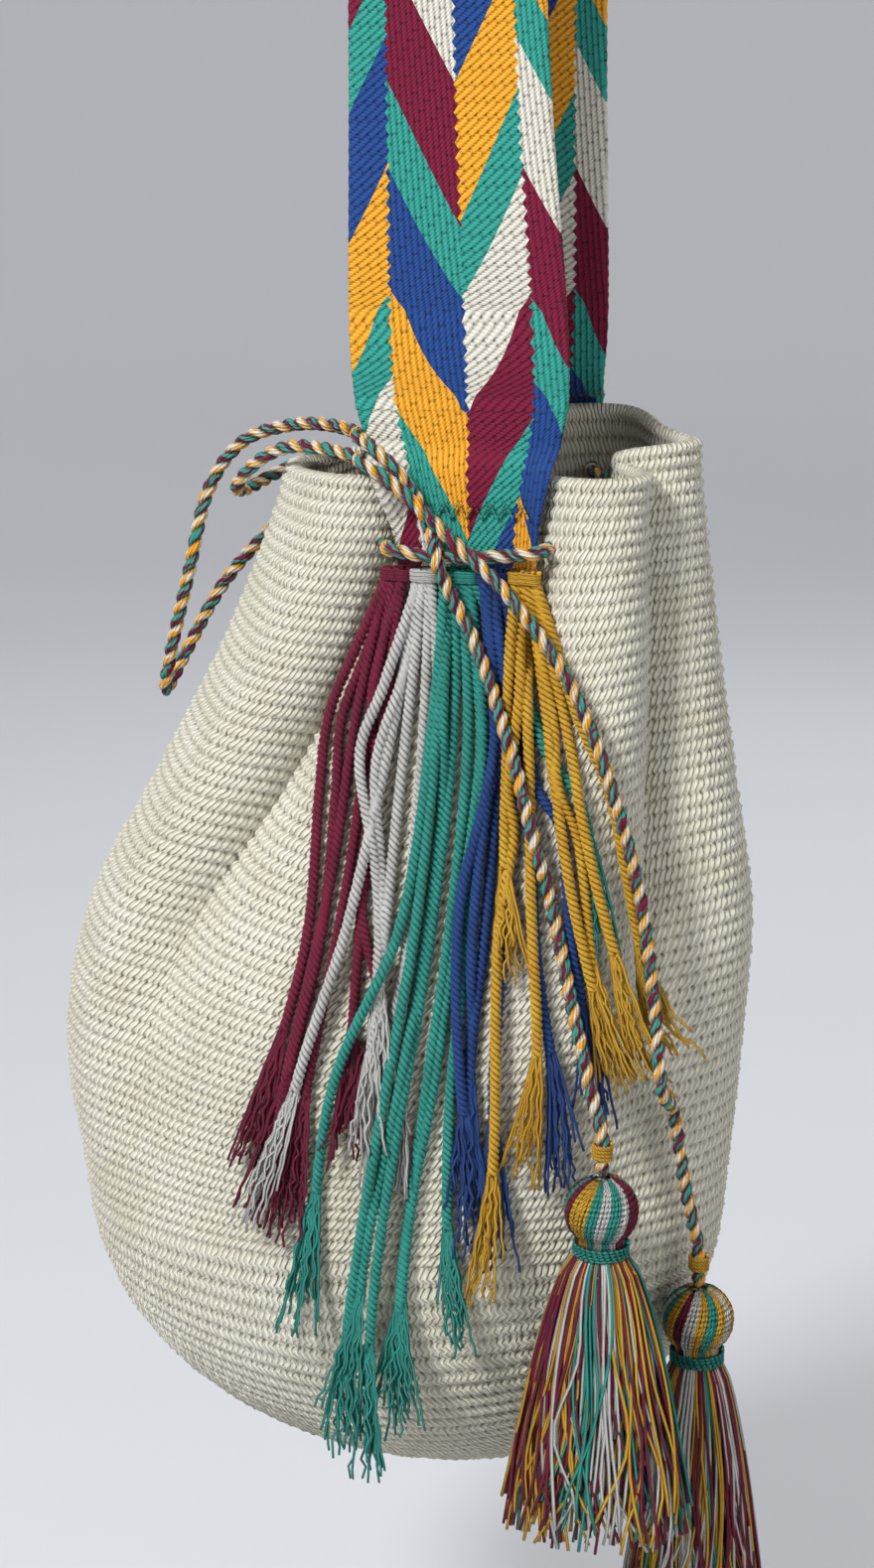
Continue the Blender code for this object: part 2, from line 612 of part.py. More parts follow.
def main():
    for obj in list(bpy.data.objects):
        bpy.data.objects.remove(obj)

    cotton = material("cotton_yarn_offwhite", "#DDDACB", 0.92)
    strap_mat = material("cotton_strap_multicolour", "#2F9D8F", 0.85)
    cord_mat = material("cotton_cord_multicolour", "#D9A62B", 0.85)
    tassel_mat = material("cotton_tassel_multicolour", "#B4674A", 0.88)
    wrap_mat = material("cotton_wrap_teal", "#2F9D8F", 0.85)
    colours = {
        "burgundy": material("cotton_burgundy", "#7E1144", 0.85),
        "cream": material("cotton_cream", "#DAD6C8", 0.88),
        "teal": material("cotton_teal", "#2F9D8F", 0.85),
        "blue": material("cotton_blue", "#1F4C9E", 0.85),
        "gold": material("cotton_gold", "#F3A52A", 0.85),
    }

    # Drawstring's run through the mouth, and the eyelets it needs in the shell
    shell = build_shell()
    bag = add_mesh("bag_body", *shell, cotton)
    strap = build_strap(shell)
    add_mesh("shoulder_strap", *strap, strap_mat)
    run = build_run(strap)
    hole = CORD_RADIUS + EYELET_CLEARANCE
    cutter = add_cords("eyelet_path", [(run, [hole] * len(run))], None)
    cutter.data.splines[0].use_cyclic_u = True
    add_boolean(bag, "DIFFERENCE", as_mesh_guide(cutter))
    first, last = (round(a / 360 * len(run)) for a in RUN_OPENING)
    open_run = np.vstack([run[last:], run[:first + 1]])
    add_cords("drawstring_rim_run", [(open_run, [CORD_RADIUS] * len(open_run))], cord_mat)

    front = Surface(FRONT, [shell, strap])
    back = Surface(BACK, [shell, strap])
    build_stitches("front_seam_stitches", front, cotton)
    build_stitches("back_seam_stitches", back, cotton)

    # Fringe routes in mm: x at the head, then x and z on the way down to the tuft's end
    front_fringe = {
        "burgundy": (((-16.5, 0), (-21, -580), (-27, -641), (-31, -735)),
                     ((-19, 0), (-26, -580), (-33, -641), (-45, -710), (-53, -766)),
                     ((-21.5, 0), (-31, -580), (-39, -641), (-52, -705), (-62, -760))),
        "cream": (((-9, 0), (-14, -590), (-18, -641), (-21, -700), (-22, -748)),
                  ((-11, 0), (-19, -590), (-31, -650), (-46, -700), (-61, -757)),
                  ((-7, 0), (-8, -590), (-11, -641), (-13, -700), (-14, -745))),
        "teal": (((0, 0), (-3, -590), (-8, -650), (-17, -710), (-29, -790), (-31, -838)),
                 ((2, 0), (2, -590), (-3, -650), (-11, -710), (-21, -790), (-20, -850)),
                 ((4, 0), (7, -590), (3, -650), (-4, -710), (-12, -785), (-9, -832)),
                 ((6.5, 0), (12, -590), (9, -650), (4, -720), (5, -800)),
                 ((-1.6, 0), (-4, -580), (-13, -650), (-36, -710), (-46, -796))),
        "blue": (((12.5, 0), (17, -590), (15, -650), (11, -700), (13, -765)),
                 ((14.5, 0), (21, -590), (21, -650), (19, -710), (21, -770)),
                 ((16.5, 0), (26, -590), (33, -660), (40, -705), (42, -742))),
        "gold": (((23.5, 0), (28, -580), (31, -640), (34, -690), (31, -740)),
                 ((25.5, 0), (34, -580), (45, -640), (56, -685), (62, -708)),
                 ((27.5, 0), (40, -580), (54, -640), (70, -690), (80, -704)),
                 ((21.8, 0), (21, -575), (21, -620), (24, -668))),
    }
    back_fringe = {
        "gold": (((-18, 0), (-23, -600), (-32, -680), (-36, -720)),
                 ((-15, 0), (-16, -600), (-20, -690), (-22, -735))),
        "blue": (((-9.5, 0), (-9.5, -600), (-12, -700), (-14, -750)),
                 ((-8, 0), (-7, -600), (-8, -700), (-8, -738))),
        "teal": (((-2, 0), (-1, -600), (-1, -700), (0, -780)),
                 ((1, 0), (6, -600), (9, -700), (11, -770))),
        "cream": (((7.5, 0), (13, -600), (17, -690), (18, -722)),
                  ((9, 0), (17, -600), (23, -690), (26, -733))),
        "burgundy": (((15, 0), (24, -600), (31, -690), (35, -740)),
                     ((18, 0), (32, -600), (42, -680), (48, -715))),
    }
    ahead = run[run[:, 1] < 0]
    front.cords = np.vstack([front.cords, np.column_stack(
        [ahead[:, 0], ahead[:, 2], -ahead[:, 1], np.full(len(ahead), CORD_RADIUS)])])
    for side, surface, groups in (("front", front, front_fringe), ("back", back, back_fringe)):
        for colour, cords in groups.items():
            build_fringe("_".join((side, "fringe", colour)), surface, cords, colours[colour])

    # Tail routes in mm: x, z and least distance in front of the plane y = 0; 0 marks free parts
    left_route = ((-49, -513, -20, 0), (-58, -516, -25, 0), (-74, -528, -25, 0),
                  (-93, -550, -17, 0), (-106, -577, -4, 0), (-110, -587, 3, 0),
                  (-106, -571, 9, 0), (-98, -541, 11, 0), (-92, -514, 7, 0),
                  (-80, -497, 6, 0), (-60, -490, 12, 0), (-41, -489.5, 23),
                  (-26, -494, 35), (-15, -504, 43), (-6, -521, 46), (-1, -537, 48),
                  (8, -554, 50), (15, -570, 52), (23, -590, 54), (30, -613, 56),
                  (36, -635, 60), (44, -668, 70), (52, -698, 76), (56.5, -714, 78),
                  (57, -722, 78), (57, -728, 78))
    right_route = ((-49, -503.5, -20, 0), (-58, -504, -23, 0), (-71, -509, -14, 0),
                   (-80, -514, 0, 0), (-80, -511, 14, 0), (-71, -502, 20, 0), (-58, -496, 26, 0),
                   (-42, -496, 35), (-28, -499, 43), (-17, -506, 48), (-6, -516, 50),
                   (5, -526, 52), (16, -535, 54), (26, -546, 56), (37, -560, 58),
                   (49, -582, 58), (59, -610, 58), (67, -642, 58), (72, -676, 54),
                   (77, -710, 50), (82, -745, 45), (86.5, -766, 42), (87, -774, 42),
                   (87, -780, 42))
    pivots = {}
    for name, route in (("left", left_route), ("right", right_route)):
        metres = [(x * MM, z * MM, h * MM, *free) for x, z, h, *free in route]
        points, record = front.lay(metres, CORD_RADIUS, False)
        front.cords = np.vstack([front.cords, record])
        x, z, h = route[-1]
        pivots[name] = Vector((x * MM, -h * MM, z * MM))
        points[-1] = pivots[name]
        points[-2] = pivots[name] + Vector((0, 0, 11 * MM))
        add_cords("drawstring_tail_" + name, [cord_with_round_end(points, CORD_RADIUS)], cord_mat)

    # Tassels hang from the cords' ends; each swings about the end's centre
    for name, half_width, half_depth, lean in (("left", 33, 21, 3), ("right", 26, 18, 0)):
        prefix = "tassel_" + name
        pivot = pivots[name]
        build_tassel(prefix, pivot, half_width * MM, half_depth * MM, lean * MM, tassel_mat)
        build_band(prefix + "_neck_wrap", pivot - Vector((0, 0, NECK_DEPTH)), NECK_RADIUS + GAP,
                   NECK_RADIUS + GAP + NECK_WRAP, 4 * MM, wrap_mat)
        build_band(prefix + "_cord_whipping", pivot + Vector((0, 0, 7 * MM)), CORD_RADIUS + GAP,
                   CORD_RADIUS + GAP + 1.6 * MM, 5 * MM, colours["gold"])


main()
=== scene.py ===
"""Looks of a crocheted drawstring bucket bag that hangs by its woven strap."""
import json
import math

import bpy
import numpy as np
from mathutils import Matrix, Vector
from mathutils.bvhtree import BVHTree

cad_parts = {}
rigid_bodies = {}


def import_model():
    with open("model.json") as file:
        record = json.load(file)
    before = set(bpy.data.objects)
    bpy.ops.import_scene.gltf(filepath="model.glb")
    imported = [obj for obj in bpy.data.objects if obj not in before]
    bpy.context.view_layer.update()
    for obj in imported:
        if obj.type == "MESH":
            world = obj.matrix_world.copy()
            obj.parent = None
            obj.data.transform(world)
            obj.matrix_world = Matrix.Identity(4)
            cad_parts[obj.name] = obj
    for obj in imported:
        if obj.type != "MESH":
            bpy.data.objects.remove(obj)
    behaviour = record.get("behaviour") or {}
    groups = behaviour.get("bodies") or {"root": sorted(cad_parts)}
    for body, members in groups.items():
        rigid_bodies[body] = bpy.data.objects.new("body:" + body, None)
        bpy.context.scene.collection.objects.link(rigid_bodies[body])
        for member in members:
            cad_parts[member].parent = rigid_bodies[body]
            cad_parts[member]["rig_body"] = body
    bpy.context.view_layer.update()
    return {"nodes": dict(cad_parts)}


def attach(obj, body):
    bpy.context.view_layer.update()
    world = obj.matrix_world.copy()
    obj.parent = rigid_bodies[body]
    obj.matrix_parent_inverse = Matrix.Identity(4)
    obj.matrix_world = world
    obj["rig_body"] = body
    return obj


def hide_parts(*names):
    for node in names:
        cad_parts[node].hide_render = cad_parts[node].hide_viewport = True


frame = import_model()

MM = 0.001
NODES = frame["nodes"]
RANDOM = np.random.default_rng(7)

# Shell of the bag, the same values as in the part's source
RIM_Z = -503 * MM
CREASE_Z = -770 * MM
BASE_DROP = 96 * MM
BASE_SHIFT = 16 * MM
BASE_START = 0.12
BASE_DIP = 0.18
BASE_FULLNESS = 0.85
WALL = 4 * MM
RIM_BEAD = 6 * MM
RIM_RADIUS = 3 * MM
RIM_LIFT = 17 * MM
RIM_LIFT_REACH = 0.45

# Degrees around the bag, and how much of its lift the rim has there
RIM_LIFTS = ((-44, 0.0), (5, 0.55), (55, 1.0), (135, 1.0), (188, 0.1), (205, 0.0), (316, 0.0))

# Height, centre x, half width, half depth and depth of the folds, in mm
STATIONS = (
    (-503, 8, 56, 43, 12),
    (-560, 1, 71, 50, 12),
    (-610, -8, 89, 57, 11),
    (-660, -18, 109, 64, 8),
    (-705, -25, 117, 69, 4),
    (-770, -25, 115, 71, 0),
)

# Crests and valleys: degrees at the rim and lower down, and offset as a share of the depth
FOLDS = (
    (242, 225, -1.20), (256, 240, -0.70), (297, 285, -0.70), (318, 304, 0.95),
    (340, 321, -1.00), (364, 350, 0.95), (390, 385, 0.40), (411, 411, 0.70),
    (434, 434, -0.70), (466, 466, -0.70), (486, 486, 0.70), (511, 511, -0.80),
    (523, 523, -0.80), (560, 548, 1.10), (582, 566, 1.10), (602, 585, -1.20),
)
FOLD_DRIFT_LEVEL = 0.6
FOLD_ROUNDNESS = 0.45

# Crochet: rounds up the wall and over the base, and stitches around
WALL_ROUNDS = 60
BASE_ROUNDS = 32
STITCHES = 132
STITCH_COLUMNS = 4
ROUND_STEPS = (0.0, 0.24, 0.5, 0.76)
INSIDE_STEPS = (0.0, 0.5)
STITCH_SHIFT = 0.30
ROUND_SAG = 0.05

# Relief of the crochet in mm: a ridge for each round, a lump for each stitch, a hole beside it
RIDGE_HEIGHT = 1.15
LUMP_HEIGHT = 0.5
HOLE_DEPTH = 0.9
VALLEY_DEPTH = 1.0
LUMP_SHARES = (0.35, 1.55)

# Strap, drawstring, fringe and tassels
STRAP_THICKNESS = 2.6 * MM
STRAP_WIDTH = 72 * MM
STRAP_TOP_WIDTH = 63 * MM
STRAP_END_WIDTH = 46 * MM
STRAP_END_Z = -533 * MM
STRAP_GATHER_Z = -470 * MM
STRAP_FLAT_Z = -460 * MM
STRAP_CUPPED_Z = -330 * MM
STRAP_LEG_OUT = 31 * MM
PEG_RADIUS = 8 * MM
STRAP_FEELER = 4 * MM
CORD_RADIUS = 2.3 * MM
RUN_CENTRE_X = 3 * MM
RUN_HALF_WIDTH = 47 * MM
RUN_HALF_DEPTH = 43.5 * MM
RUN_Z = -517 * MM
RUN_TILT = 12 * MM
RUN_OPENING = (144, 162)
EYELET_CLEARANCE = 0.7 * MM
FRINGE_RADIUS = 1.9 * MM
TUFT_RADIUS = 3.2 * MM
TUFT_LENGTH = 45 * MM
TUFT_YARNS = 20
HEADER_HEIGHT = 4 * MM
HEADER_THICKNESS = 3 * MM
THREAD_RADIUS = 0.6 * MM
SEAM_HEIGHT = 5 * MM
HEAD_RADIUS = 12.7 * MM
HEAD_DEPTH = 13.8 * MM
NECK_RADIUS = 8.2 * MM
NECK_DEPTH = 27 * MM
SKIRT_LENGTH = 101 * MM
HEAD_YARNS = 58
SKIRT_YARNS = 400
GOLDEN_SHARE = 0.618034
GAP = 0.3 * MM
LAY_GAP = 1.0 * MM
FRONT = -1
BACK = 1
SEAM_Z = {FRONT: -514 * MM, BACK: -521 * MM}

# Strap pattern: left and right side of each column in steps across the width, height in mm at
# which its cycle of colours starts on the left side, and whether its bands rise to the right
COLUMNS = ((0, 6, -318, 1), (6, 17, -334, -1), (17, 27, -482, 1), (27, 32, -401.5, -1))
STRAP_STEPS = 32
SEAM_POINTS = 17
SEAM_STEP = 2.6 * MM
BAND_SLOPE = 1.75
BAND_CYCLE = 212
BANDS = (("burgundy", 0.0), ("teal", 0.196), ("blue", 0.318), ("gold", 0.502),
         ("teal", 0.696), ("cream", 0.816))
TOOTH = 2.2 * MM

# Width of a float of the strap's weave, its shift from lane to lane, its length and the
# spacing of its plies, all in mm
FLOAT_WIDTH = 2.1
FLOAT_SHIFT = 2.9
FLOAT_LENGTH = 8.4
FLOAT_PLY = 1.25

# Colours of the drawstring, two for each ply, the length of a patch of them in mm, and the
# length in which the plies of the drawstring and of a fringe cord turn once
CORD_COLOURS = ("burgundy", "teal", "gold", "cream")
CORD_PATCH = 4.7
CORD_PITCH = 10 * MM
FRINGE_PITCH = 6.6 * MM

COLOURS = {
    "burgundy": "#7A0B33",
    "cream": "#DFDBCD",
    "teal": "#2F9D8F",
    "blue": "#1C468C",
    "gold": "#F5A92A",
}


def linear(hex_colour):
    """Linear RGBA of an sRGB hex colour."""
    values = [int(hex_colour[i:i + 2], 16) / 255 for i in (1, 3, 5)]
    return [v / 12.92 if v <= 0.04045 else ((v + 0.055) / 1.055) ** 2.4 for v in values] + [1.0]


# Camera

def add_camera():
    """The photograph's view: 10 degrees from the right and 13 degrees from above."""
    data = bpy.data.cameras.new("camera")
    data.sensor_fit = "VERTICAL"
    data.sensor_height = 36
    data.lens = 63.7
    camera = bpy.data.objects.new("camera", data)
    bpy.context.scene.collection.objects.link(camera)
    azimuth, elevation, distance = math.radians(10), math.radians(13), 0.95
    back = Vector((math.sin(azimuth) * math.cos(elevation),
                   -math.cos(azimuth) * math.cos(elevation), math.sin(elevation)))
    camera.location = Vector((-0.007, -0.03, -0.61)) + back * distance
    camera.rotation_mode = "QUATERNION"
    camera.rotation_quaternion = (-back).to_track_quat("-Z", "Y")
    bpy.context.scene.camera = camera


# Shapes

def curve_at(p0, p1, p2, p3, t):
    """Point of a smooth curve between p1 and p2, at a share t of the way."""
    return 0.5 * (2 * p1 + (p2 - p0) * t + (2 * p0 - 5 * p1 + 4 * p2 - p3) * t ** 2
                  + (3 * p1 - p0 - 3 * p2 + p3) * t ** 3)


def lengths(points):
    """Length of a path from its start to each of its points."""
    return np.concatenate([[0], np.cumsum(np.linalg.norm(np.diff(points, axis=0), axis=1))])


def half_cosine(start, step, t):
    """Value and slope on the way from start over a step, eased by half a cosine."""
    return start + step * (1 - np.cos(math.pi * t)) / 2, -step * np.sin(math.pi * t) / 2


def smooth_curve(points, spacing):
    """Points about spacing apart along a smooth curve through the route points."""
    pts = np.array(points, float)
    ends = np.vstack([2 * pts[0] - pts[1], pts, 2 * pts[-1] - pts[-2]])
    dense = []
    for i in range(1, len(ends) - 2):
        dense += [curve_at(*ends[i - 1:i + 3], t) for t in np.arange(24) / 24]
    return resample(np.vstack([dense, pts[-1]]), spacing)


def resample(points, spacing):
    """Points evenly apart along a path, close to the spacing."""
    along = lengths(points)
    at = np.linspace(0, along[-1], max(2, int(round(along[-1] / spacing)) + 1))
    return np.column_stack([np.interp(at, along, points[:, k]) for k in range(points.shape[1])])


class Shape:
    """Vertices, faces, texture coordinates and material numbers of one piece."""

    def __init__(self):
        self.verts, self.faces, self.uvs, self.slots = [], [], [], []
        self.count = 0

    def add(self, verts, quads, uvs, slot=0):
        self.verts.append(np.asarray(verts, float))
        self.faces.append(np.asarray(quads) + self.count)
        self.uvs.append(np.asarray(uvs, float))
        self.slots.append(np.full(len(quads), slot))
        self.count += len(verts)

    def finish(self, name, materials, node, uv_names=("UVMap",)):
        """The piece as an object that stands for a CAD node and moves with its body."""
        quads = np.vstack(self.faces)
        mesh = bpy.data.meshes.new(name)
        mesh.from_pydata(np.vstack(self.verts).tolist(), [], [
            q[:3] if q[2] == q[3] else q for q in quads.tolist()])
        keep = np.ones(quads.shape, bool)
        keep[:, 3] = quads[:, 2] != quads[:, 3]
        uvs = np.vstack(self.uvs)[keep]
        for k, uv_name in enumerate(uv_names):
            layer = mesh.uv_layers.new(name=uv_name)
            layer.data.foreach_set("uv", uvs[:, 2 * k:2 * k + 2].ravel())
        for mat in materials:
            mesh.materials.append(mat)
        mesh.polygons.foreach_set("material_index", np.concatenate(self.slots))
        mesh.shade_smooth()
        mesh.update()
        obj = bpy.data.objects.new(name, mesh)
        bpy.context.scene.collection.objects.link(obj)
        cad = NODES[node]
        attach(obj, cad["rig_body"])
        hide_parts(node)
        return obj


def ring_frames(points):
    """Tangent, normal and binormal at each point of a path, without added twist."""
    tangents = np.gradient(points, axis=0)
    tangents /= np.linalg.norm(tangents, axis=1)[:, None]
    normals = np.empty_like(points)
    seed = np.cross(tangents[0], (0.3, 0.8, 0.1))
    for i, tangent in enumerate(tangents):
        seed = seed - tangent * (seed @ tangent)
        seed = seed / np.linalg.norm(seed)
        normals[i] = seed
    return tangents, normals, np.cross(tangents, normals)


def add_tube(shape, points, radii, sides, plies=0, pitch=1.0, depth=0.35, slot=0, phase=0.0):
    """Round or plied tube along a path; the plies wind around it once in each pitch."""
    points = np.asarray(points, float)
    radii = np.broadcast_to(radii, len(points))
    _, normals, binormals = ring_frames(points)
    along = lengths(points)
    share = np.arange(sides) / sides
    profile = np.ones(sides)
    if plies:
        profile = 1 - depth * (1 - np.abs(np.sin(math.pi * plies * share)) ** 0.8)
    angles = 2 * math.pi * (share[None, :] + phase + (along / pitch)[:, None] * bool(plies))
    reach = radii[:, None] * profile[None, :]
    verts = (points[:, None] + (reach * np.cos(angles))[..., None] * normals[:, None]
             + (reach * np.sin(angles))[..., None] * binormals[:, None]).reshape(-1, 3)
    rings = len(points)
    i, k = np.meshgrid(np.arange(rings - 1), np.arange(sides), indexing="ij")
    i, k = i.ravel(), k.ravel()
    after = (k + 1) % sides
    quads = np.column_stack([i * sides + k, i * sides + after,
                             (i + 1) * sides + after, (i + 1) * sides + k])
    u0, u1 = k / sides, (k + 1) / sides
    v0, v1 = along[i] / MM, along[i + 1] / MM
    uvs = np.stack([np.column_stack([u0, v0]), np.column_stack([u1, v0]),
                    np.column_stack([u1, v1]), np.column_stack([u0, v1])], axis=1)
    ends = np.vstack([points[0], points[-1]])
    k = np.arange(sides)
    after = (k + 1) % sides
    first = np.full(sides, rings * sides)
    low = np.column_stack([after, k, first, first])
    high = np.column_stack([(rings - 1) * sides + k, (rings - 1) * sides + after,
                            first + 1, first + 1])
    flat = np.zeros((2 * sides, 4, 2))
    flat[..., 0] = ((k + 0.5) / sides)[np.arange(2 * sides) % sides, None]
    shape.add(np.vstack([verts, ends]), np.vstack([quads, low, high]),
              np.concatenate([uvs, flat]), slot)


# Bag

def stations(z):
    """Centre x, half width, half depth and fold depth of the shell's wall at each height."""
    table = np.array(STATIONS, float) * MM
    heights, values = table[::-1, 0], table[::-1, 1:]
    slopes = np.gradient(values, heights, axis=0)
    i = np.clip(np.searchsorted(heights, z) - 1, 0, len(heights) - 2)
    span = (heights[i + 1] - heights[i])[:, None]
    t = (z - heights[i])[:, None] / span
    return ((2 * t ** 3 - 3 * t ** 2 + 1) * values[i] + (t ** 3 - 2 * t ** 2 + t) * span * slopes[i]
            + (3 * t ** 2 - 2 * t ** 3) * values[i + 1] + (t ** 3 - t ** 2) * span * slopes[i + 1])


def eased(table, angles):
    """Values and slopes of a table of degrees and values, eased by half cosines."""
    degrees, values = np.array(table, float).T
    at = (np.degrees(angles) - degrees[0]) % 360 + degrees[0]
    i = np.clip(np.searchsorted(degrees, at) - 1, 0, len(degrees) - 2)
    t = np.clip((at - degrees[i]) / (degrees[i + 1] - degrees[i]), 0, 1)
    step = values[i + 1] - values[i]
    return half_cosine(values[i], step, t)


def folds(angle, level):
    """Offset of the folds and the lean of their crests; the folds drift sideways downwards."""
    rim, low, shares = np.array(FOLDS, float).T
    table = rim + (low - rim) * np.minimum(level / FOLD_DRIFT_LEVEL, 1.0)[:, None]
    at = (np.degrees(angle) - table[:, 0]) % 360 + table[:, 0]
    i = np.clip((table < at[:, None]).sum(axis=1) - 1, 0, len(shares) - 2)[:, None]
    start, end = (np.take_along_axis(table, i + k, axis=1)[:, 0] for k in (0, 1))
    t = np.clip((at - start) / (end - start), 0, 1)
    i = i[:, 0]
    step = shares[i + 1] - shares[i]
    return half_cosine(shares[i], step, t)


def shell_points(angle, level):
    """Middle of the shell's wall. Level 0 is the rim, 1 the crease and 2 the base's middle."""
    angle, level = np.broadcast_arrays(np.asarray(angle, float), np.asarray(level, float))
    z = RIM_Z + (CREASE_Z - RIM_Z) * np.minimum(level, 1)
    centre, half_width, half_depth, depth = stations(z).T
    offset, lean = folds(angle, level)
    turned = angle + FOLD_ROUNDNESS * lean * depth / half_depth
    lift = eased(RIM_LIFTS, angle)[0]
    z = z + RIM_LIFT * lift * np.maximum(0, 1 - level / RIM_LIFT_REACH) ** 2
    under = np.clip(level - 1, 0, 1)
    turn = under + BASE_DIP * np.sin(angle) ** 2 * np.sin(math.pi * under)
    turn = BASE_START + (math.pi / 2 - BASE_START) * turn
    share = (np.sin(turn) - math.sin(BASE_START)) / (1 - math.sin(BASE_START))
    narrowing = (np.maximum(np.cos(turn), 0) / math.cos(BASE_START)) ** BASE_FULLNESS
    z = z - BASE_DROP * share
    centre = centre + BASE_SHIFT * share ** 3
    half_width, half_depth = half_width * narrowing, half_depth * narrowing
    outward = np.column_stack([np.cos(turned) * half_depth, np.sin(turned) * half_width])
    outward /= np.maximum(np.linalg.norm(outward, axis=1), 1e-9)[:, None]
    outward *= (offset * depth)[:, None]
    return np.column_stack([centre + half_width * np.cos(turned) + outward[:, 0],
                            half_depth * np.sin(turned) + outward[:, 1], z])


def shell_normals(angle, level):
    """Outward directions of the shell."""
    step = 0.004
    level = np.maximum(level, 0.02)
    around = shell_points(angle + step, level) - shell_points(angle - step, level)
    down = (shell_points(angle, np.minimum(level + step, 1.999))
            - shell_points(angle, level - step))
    normal = np.cross(down, around)
    return normal / np.linalg.norm(normal, axis=1)[:, None]


def shell_thickness(level):
    """Thickness of the wall, which grows into the round bead at the rim."""
    below = (RIM_Z - CREASE_Z) * level
    bead = RIM_BEAD * np.sqrt(np.maximum(0, 1 - np.maximum(0, 1 - below / RIM_RADIUS) ** 2))
    wall = WALL + (RIM_BEAD - WALL) * np.exp(-((below - RIM_RADIUS) / (4 * MM)) ** 2)
    return np.where(below < RIM_RADIUS, bead, wall)


def even_angles(level, count):
    """Angles that space count points evenly around the shell at a level, and its girth."""
    fine = np.linspace(0, 2 * math.pi, 721) + math.radians(100)
    ring = shell_points(fine, np.full(len(fine), level))
    along = lengths(ring)
    return np.interp(np.arange(count) / count * along[-1], along, fine), along[-1]


def stitch_relief(stitch, rounds, lumps):
    """Height in mm of the crochet over the shell's even surface; lumps holds uneven shares."""
    row = np.floor(rounds + 1e-6).astype(int)
    v = rounds - row
    ridge = np.sin(math.pi * v) ** 1.4
    slant = stitch + STITCH_SHIFT * row - 0.5 * v
    lump = 0.5 + 0.5 * np.cos(2 * math.pi * slant)
    uneven = lumps[row % len(lumps), np.floor(slant).astype(int) % lumps.shape[1]]
    near = np.exp(-((v - np.round(v)) / 0.24) ** 2)
    hole = near * (0.5 - 0.5 * np.cos(2 * math.pi * (
        stitch + STITCH_SHIFT * np.round(rounds)))) ** 2
    height = RIDGE_HEIGHT * ridge * (0.75 + 0.25 * uneven)
    height += LUMP_HEIGHT * lump * (0.15 + ridge) * uneven
    return height - HOLE_DEPTH * hole - VALLEY_DEPTH


def add_bag(material):
    """Crocheted shell: the outside in three pieces that part in valleys, and the inside."""
    columns = STITCHES * STITCH_COLUMNS
    lumps = RANDOM.uniform(*LUMP_SHARES, (97, 151))
    _, crease_girth = even_angles(1.0, 8)

    def rows(first, last, steps):
        return [k + v for k in range(first, last) for v in steps] + [last]

    def level_of(rounds):
        if rounds <= WALL_ROUNDS:
            return rounds / WALL_ROUNDS
        return 1 + 0.992 * (rounds - WALL_ROUNDS) / BASE_ROUNDS

    def band(name, first, last, count, steps, side):
        shape = Shape()
        listed = rows(first, last, steps)
        if first == 0:
            listed = [0.0, 0.06] + listed[1:]
        k = np.arange(count)
        verts, uvs = [], []
        for rounds in listed:
            level = level_of(rounds)
            angles, girth = even_angles(level, count)
            stitches = max(8, round(STITCHES * girth / crease_girth)) if rounds > WALL_ROUNDS \
                else STITCHES
            stitch = k / count * stitches
            levels = np.full(count, level)
            levels -= ROUND_SAG * math.sin(math.pi * min(level, 1.0)) * np.cos(2 * angles)
            normal = shell_normals(angles, levels)
            half = shell_thickness(levels) / 2
            relief = stitch_relief(stitch, np.full(count, float(rounds)), lumps) * MM
            relief *= np.clip(half / (RIM_BEAD / 2), 0, 1)
            points = shell_points(angles, levels)
            verts.append(points + normal * (side * half + side * relief)[:, None])
            uvs.append(np.column_stack([stitch + STITCH_SHIFT * math.floor(rounds + 1e-6),
                                        np.full(count, rounds)]))
        verts = np.vstack(verts)
        quads, corners = [], []
        after = (k + 1) % count
        for i in range(len(listed) - 1):
            quad = np.column_stack([i * count + k, (i + 1) * count + k,
                                    (i + 1) * count + after, i * count + after])
            upper, lower = uvs[i], uvs[i + 1].copy()
            lower[:, 0] += upper[0, 0] - lower[0, 0]
            step_u, step_l = upper[1, 0] - upper[0, 0], lower[1, 0] - lower[0, 0]
            corner = np.stack([upper, lower, lower + (step_l, 0), upper + (step_u, 0)], axis=1)
            if side < 0:
                quad, corner = quad[:, ::-1], corner[:, ::-1]
            quads.append(quad)
            corners.append(corner)
        if last == WALL_ROUNDS + BASE_ROUNDS:
            pole = len(verts)
            low = (len(listed) - 1) * count
            verts = np.vstack([verts, verts[low:low + count].mean(axis=0)])
            fan = [low + k, np.full(count, pole), low + after]
            fan = fan if side > 0 else fan[::-1]
            quads.append(np.column_stack(fan + [fan[2]]))
            corners.append(np.zeros((count, 4, 2)) + (0.5, 0.5))
        shape.add(verts, np.vstack(quads), np.concatenate(corners))
        shape.finish(name, [material], "bag_body")

    half = WALL_ROUNDS // 2
    band("bag_wall_upper", 0, half, columns, ROUND_STEPS, 1)
    band("bag_wall_lower", half, WALL_ROUNDS, columns, ROUND_STEPS, 1)
    band("bag_base", WALL_ROUNDS, WALL_ROUNDS + BASE_ROUNDS, columns, ROUND_STEPS, 1)
    band("bag_lining_side", 0, WALL_ROUNDS + BASE_ROUNDS, STITCHES, INSIDE_STEPS, -1)


# Laying cords on the bag

